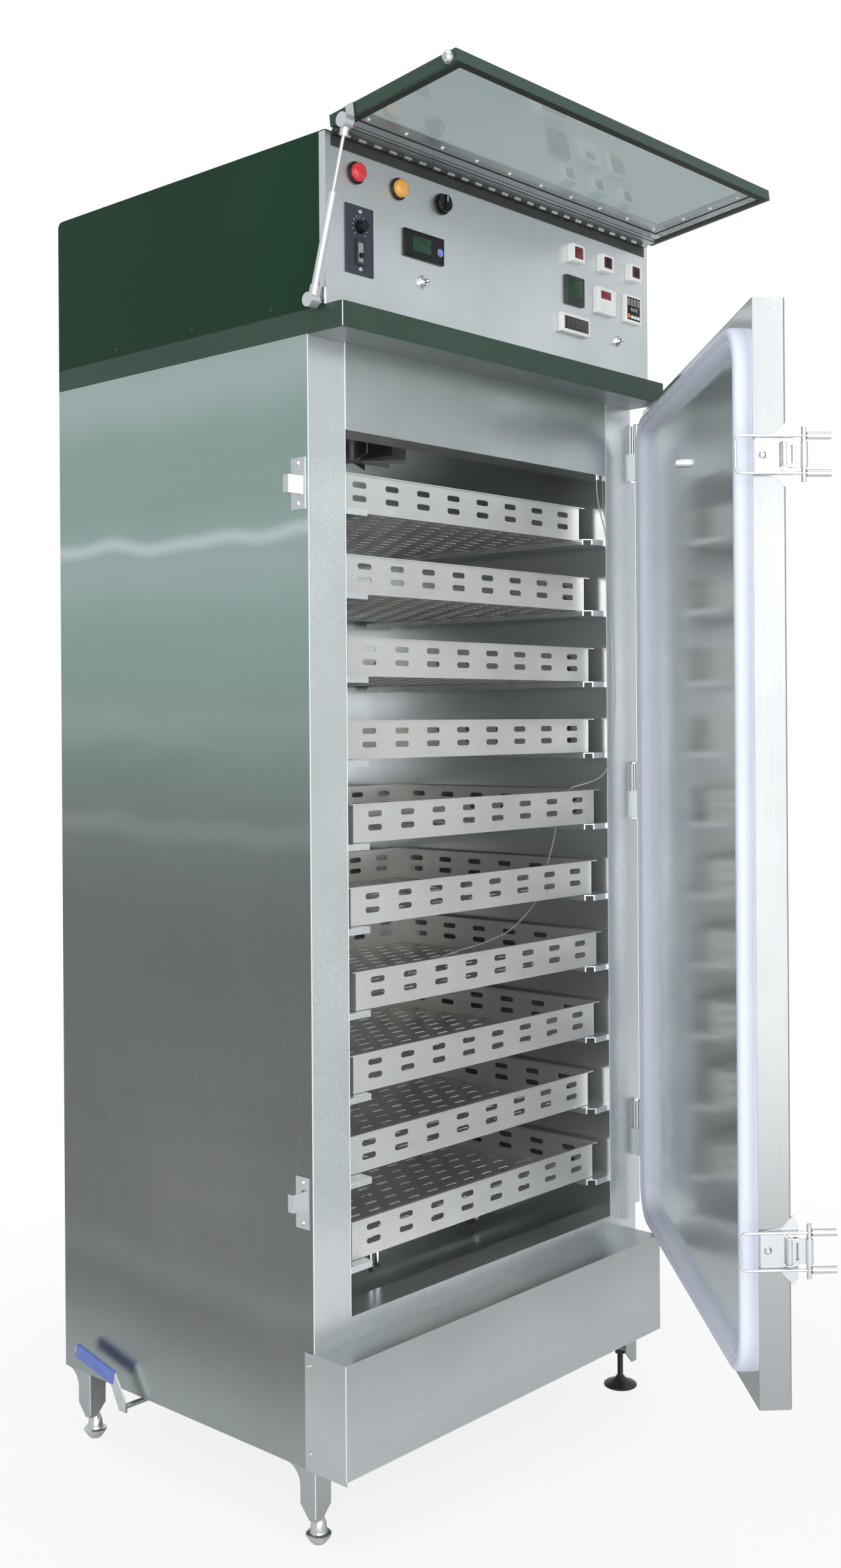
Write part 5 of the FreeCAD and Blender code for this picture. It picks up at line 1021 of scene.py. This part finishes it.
class Panel:
    """Instruments, lamps and switches of the control panel."""

    def build(self) -> None:
        """Build every instrument."""
        for plate in PLATES:
            plate.build()
        self.lamp("red_lamp", -0.314, 0.184, RED_LENS)
        self.lamp("yellow_lamp", -0.231, 0.182, YELLOW_LENS)
        self.selector()
        self.speed_control()
        Bench.finish(self.turned("display_key_ring", ((0.0058, 0), (0.0058, 0.0006), (0.005, 0.0008)), -0.148, 0.111,
                                 24, 0.0037), GREY_PLASTIC)
        self.digits("timer_digits", 0.32, 0.1265, 0.0105, 4, 0.0082, DIGIT_PALE)
        self.digits("timer_presets", 0.321, 0.1148, 0.0048, 5, 0.0082, DIGIT_PALE)
        self.digits("meter_digits", 0.161, 0.064, 0.0125, 4, 0.0091, DIGIT_DIM)
        for place, body in enumerate(("rocker_left", "rocker_middle", "rocker_right")):
            self.rocker(place, body)
        for place, (x, z) in enumerate(((-0.182, 0.064), (0.285, 0.06))):
            self.toggle_bush(place + 1, x, z)

    @staticmethod
    def turned(name: str, steps: Steps, x: float, z: float, sides: int, lift: float = 0.0) -> Piece:
        """Turned piece that points out of the panel.

        Args:
            name: Name of the piece.
            steps: Radius and height of each step, from the panel.
            x: Side place.
            z: Height above the band.
            sides: Number of sides.
            lift: How far its base stands out.

        Returns:
            The piece.
        """
        return Bench.turned(name, steps, (x, PANEL_FACE - lift, PANEL_LEVEL + z), Facing.FRONT, sides)

    def digits(self, name: str, x: float, z: float, size: float, count: int, front: float, finish: Finish) -> None:
        """Row of seven segment eights.

        Args:
            name: Name of the piece.
            x: Side place of the row's middle.
            z: Height of its middle above the band.
            size: Height of a digit.
            count: Number of digits.
            front: How far their front stands out from the panel.
            finish: Their finish.
        """
        wide, thin = size * 0.5, size * 0.11
        made = []
        for place in range(count):
            middle = x + (place - (count - 1) / 2) * size * 0.82
            bars = [(0.0, side * (size - thin) / 2, wide - thin, thin) for side in (-1, 0, 1)]
            bars += [(side * (wide - thin) / 2, lift * size / 4, thin, size / 2 - thin * 1.3)
                     for side in (-1, 1) for lift in (-1, 1)]
            for across, up, width, height in bars:
                bar = Plate("bar", middle + across, z + up, width, height, front, front - 0.0006, finish, thin * 0.2, 1)
                made.append(bar.blank("bar", bar.x))
        Bench.finish(Bench.join(made, name), finish)

    def lamp(self, name: str, x: float, z: float, lens: Finish) -> None:
        """Lamp with a ring and a domed lens.

        Args:
            name: Name of the lamp.
            x: Side place.
            z: Height above the band.
            lens: Finish of the lens.
        """
        ring = ((0.0148, 0), (0.015, 0.001), (0.015, 0.003), (0.0138, 0.0045), (0.0128, 0.0045), (0.0126, 0.003))
        dome = ((0.0122, 0.002), (0.0122, 0.009), (0.0115, 0.0108), (0.0095, 0.0122), (0.006, 0.0129), (0.002, 0.013))
        Bench.finish(self.turned(f"{name}_ring", ring, x, z, 40), BLACK_GLOSS)
        Bench.finish(self.turned(f"{name}_lens", dome, x, z, 36), lens)

    def selector(self) -> None:
        """Ring of the selector, which stands for the panel's instruments in the CAD model."""
        steps = ((0.0148, 0), (0.015, 0.001), (0.0148, 0.0034), (0.0135, 0.0038), (0.0125, 0.0036))
        ring = Bench.finish(self.turned("selector_ring", steps, -0.141, 0.182, 40), BLACK_GLOSS)
        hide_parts("panel_instruments")
        Plate("selector_mark", -0.141, 0.18775, 0.0012, 0.0085, 0.0132, 0.0128, WHITE_PLASTIC, 0.0002, 1).build(
            "mode_knob")

    def speed_control(self) -> None:
        """Speed plate with its dial's ticks and two screws."""
        x, front = -0.308, PANEL_FACE - 0.002
        plate = Plate("speed_plate", x, 0.095, 0.053, 0.092, 0.002, -0.0002, SLATE_PLATE, 0.0005, 3,
                      (0.0015, 0.0002, 0.0004)).build()
        screw = Bench.screw("speed_plate_screw", 0.0034, 0.0018, Facing.FRONT)
        moves = [shift((x, front, PANEL_LEVEL + 0.095 + side * 0.0385)) for side in (-1, 1)]
        Bench.finish(Bench.copies(screw, moves, "speed_plate_screws"), SCREW_STEEL)
        tick = Bench.block("speed_tick", (-0.0004, -0.0004, 0.0125), (0.0004, 0.0, 0.0155), 0.0001, 1)
        turns = [shift((x, front, PANEL_LEVEL + 0.113)) @ turn(-135 + 27 * place, "Y") for place in range(11)]
        Bench.finish(Bench.copies(tick, turns, "speed_ticks"), DIGIT_PALE)

    def rocker(self, place: int, body: str) -> None:
        """Rocker switch: white frame, red paddle and its dark face.

        Args:
            place: Number of the switch from the left, from 0.
            body: Body that the paddle rides on.
        """
        x, z, number = 0.1685 + 0.077 * place, 0.175, place + 1
        Plate(f"rocker_rim_{number}", x, z, 0.031, 0.027, 0.012, -0.0002, WHITE_PLASTIC, 0.0012, 3,
              (0.0036, 0.0105, 0.0)).build()
        paddle = Plate(f"rocker_paddle_{number}", x, z, 0.0168, 0.0178, 0.0129, 0.005, RED_ROCKER, 0.0005, 2,
                       (0.0014, 0.0007, 0.0)).build(body)
        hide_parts(f"rocker_{number}")
        Plate(f"rocker_face_{number}", x + 0.0012, z, 0.0144, 0.0144, 0.0125, 0.0109,
              BLACK_GLOSS if place else RED_ROCKER).build(body)

    def toggle_bush(self, number: int, x: float, z: float) -> None:
        """Washer, hexagon nut and threaded bush of a toggle switch.

        Args:
            number: Number of the switch.
            x: Side place.
            z: Height above the band.
        """
        bush = ((0.0055, 0.003), (0.0055, 0.0045), (0.0051, 0.005), (0.0055, 0.0055), (0.0051, 0.006),
                (0.0053, 0.0068), (0.0033, 0.007), (0.0033, 0.0045))
        for word, steps, sides in (
                ("washer", ((0.0095, 0), (0.0095, 0.0006), (0.0088, 0.001)), 32),
                ("nut", ((0.0082, 0.0008), (0.0084, 0.0012), (0.0084, 0.003), (0.0076, 0.0036)), 6),
                ("bush", bush, 28)):
            Bench.finish(self.turned(f"toggle_{word}_{number}", steps, x, z, sides), CHROME)


@dataclass
class Door:
    """Door with its seal, hinges and latches."""

    inner: float = -0.0093

    def build(self) -> None:
        """Add the door's seal and screws."""
        self.seal()
        self.hinge_screws()

    def seal(self) -> None:
        """Silicone seal with a soft crown and a groove, swept round the door."""
        Bench.clear()
        bpy.ops.mesh.primitive_plane_add(size=1, location=(-0.376, self.inner, 0.9405),
                                         rotation=(-math.pi / 2, 0, 0))
        piece = bpy.context.object
        piece.scale = (0.696, 1.303, 1)
        Bench.settle(piece, "door_seal")
        Bench.edit_all()
        bpy.ops.mesh.bevel(offset=0.06, segments=16, affect="VERTICES", profile=0.5)
        Bench.push(0, 0.008, 0)
        for thickness, depth in ((0.0006, 0.004), (0.0014, 0.0032), (0.0022, 0.0019), (0.0026, 0.0008),
                                 (0.0028, 0.0), (0.0026, -0.0009), (0.0018, -0.0016), (0.0015, -0.0009),
                                 (0.0016, 0.0008), (0.0022, 0.0004), (0.0024, -0.0012), (0.0018, -0.0028),
                                 (0.0010, -0.0035)):
            bpy.ops.mesh.inset(thickness=thickness, depth=depth)
        Bench.push(0, -0.0082, 0)
        Bench.leave()
        Bench.choose(piece, [face.index for face in piece.data.polygons if len(face.vertices) > 20])
        bpy.ops.mesh.delete(type="ONLY_FACE")
        bpy.ops.mesh.select_mode(type="EDGE")
        bpy.ops.mesh.select_all(action="DESELECT")
        bpy.ops.mesh.select_non_manifold()
        bpy.ops.mesh.bridge_edge_loops()
        Bench.leave()
        piece.data.transform(DOOR_OPEN)
        Bench.finish(piece, GASKET_SILICONE, "door", 60)
        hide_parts("door_gasket")

    def hinge_screws(self) -> None:
        """Screws of the fixed and moving hinge leaves."""
        levels = [low + lift for low in (0.38, 0.94, 1.5) for lift in (0.015, 0.045, 0.075)]
        screw = Bench.screw("leaf_screw", 0.0042, 0.0018, Facing.RIGHT)
        fixed = Bench.copies(screw, [shift((0.373, 0.018, level)) for level in levels], "fixed_leaf_screws")
        Bench.finish(fixed, SCREW_STEEL)
        screw = Bench.screw("arm_screw", 0.0042, 0.0018, Facing.RIGHT)
        moving = Bench.copies(screw, [DOOR_OPEN @ shift((-0.005, -0.028, level)) for level in levels],
                              "moving_leaf_screws")
        Bench.finish(moving, SCREW_STEEL, "door")


@dataclass
class Studio:
    """Camera, floor and lights."""

    eye: Spot = (-1.8749, -1.5644, 1.103)
    forward: Spot = (0.7403, 0.6723, 0.0)
    roll: float = -0.397
    lens: float = 37.5
    shift: float = -0.04

    def build(self) -> None:
        """Build the studio."""
        self.camera()
        self.floor()
        self.world()
        self.lamp("key", (-2.2, -2.5, 1.35), (0.0, 0.0, 1.0), 3.2, 72.0)
        self.lamp("front_fill", (-0.6, -3.8, 0.9), (0.0, 0.0, 0.8), 2.6, 22.0)
        self.lamp("top_soft", (-0.6, -0.8, 4.2), (0.0, 0.1, 1.2), 2.4, 22.0)

    def camera(self) -> None:
        """Camera at the photograph's view."""
        data = bpy.data.cameras.new("view")
        data.lens = self.lens
        data.sensor_width = 36.0
        data.sensor_fit = "AUTO"
        data.shift_y = self.shift
        data.clip_start = 0.05
        camera = bpy.data.objects.new("view", data)
        bpy.context.collection.objects.link(camera)
        forward = Vector(self.forward).normalized()
        right = forward.cross(Vector((0, 0, 1))).normalized()
        up = right.cross(forward)
        roll = math.radians(self.roll)
        side = right * math.cos(roll) + up * math.sin(roll)
        top = up * math.cos(roll) - right * math.sin(roll)
        matrix = Matrix((side, top, -forward)).transposed().to_4x4()
        matrix.translation = Vector(self.eye)
        camera.matrix_world = matrix
        bpy.context.scene.camera = camera

    def floor(self) -> None:
        """Plain pale floor that reads as white and keeps the shadow."""
        Bench.clear()
        bpy.ops.mesh.primitive_plane_add(size=40, location=(0, 0, -0.0005))
        floor = Bench.settle(bpy.context.object, "floor")
        material = bpy.data.materials.new("pale_floor")
        material.use_nodes = True
        graph = Graph(material.node_tree)
        nodes = material.node_tree.nodes
        shader = graph.feed(nodes["Principled BSDF"], {"Base Color": (0.8, 0.8, 0.8, 1), "Roughness": 0.9,
                                                       "Specular IOR Level": 0.1})
        place = graph.add("TexCoord", {}).outputs["Object"]
        span = graph.add("VectorMath", {0: place}, operation="LENGTH").outputs["Value"]
        rise = graph.add("MapRange", {"Value": span, "From Min": 0.5, "From Max": 1.7, "To Min": 0.84, "To Max": 1.0},
                         interpolation_type="SMOOTHSTEP")
        rays = graph.add("LightPath", {}).outputs
        seen = graph.add("Math", {0: rays["Is Camera Ray"], 1: rise.outputs["Result"]}, operation="MULTIPLY")
        glow = graph.add("Emission", {"Color": WHITE})
        mix = graph.add("MixShader", {0: seen.outputs[0], 1: shader.outputs[0], 2: glow.outputs[0]})
        graph.feed(nodes["Material Output"], {"Surface": mix.outputs[0]})
        floor.data.materials.append(material)

    def world(self) -> None:
        """Soft white surroundings that are plain white to the camera."""
        world = bpy.data.worlds.new("surroundings")
        bpy.context.scene.world = world
        world.use_nodes = True
        graph = Graph(world.node_tree)
        nodes = world.node_tree.nodes
        plain = graph.feed(nodes["Background"], {"Color": (0.86, 0.9, 0.93, 1), "Strength": 0.78})
        white = graph.add("Background", {"Color": WHITE, "Strength": 1.0})
        rays = graph.add("LightPath", {}).outputs
        seen = graph.add("Math", {0: rays["Is Camera Ray"], 1: rays["Is Transmission Ray"]}, operation="MAXIMUM")
        mix = graph.add("MixShader", {0: seen.outputs[0], 1: plain.outputs[0], 2: white.outputs[0]})
        graph.feed(nodes["World Output"], {"Surface": mix.outputs[0]})

    def lamp(self, name: str, place: Spot, target: Spot, size: float, power: float) -> None:
        """Square area lamp that looks at a target.

        Args:
            name: Name of the lamp.
            place: Its place.
            target: Point that it looks at.
            size: Its side.
            power: Its power in watts.
        """
        data = bpy.data.lights.new(name, "AREA")
        data.shape = "SQUARE"
        data.size = size
        data.energy = power
        lamp = bpy.data.objects.new(name, data)
        bpy.context.collection.objects.link(lamp)
        lamp.location = place
        lamp.rotation_euler = (Vector(target) - Vector(place)).to_track_quat("-Z", "Y").to_euler()


def main() -> None:
    """Build the studio and every sub-assembly."""
    logging.basicConfig(level=logging.INFO)
    bpy.context.scene.view_settings.view_transform = "Standard"
    dress()
    for part in (Studio(), Lead(), Body(), Head(), Panel(), Door()):
        LOG.info("building %s", type(part).__name__)
        part.build()


if __name__ == "__main__":
    main()
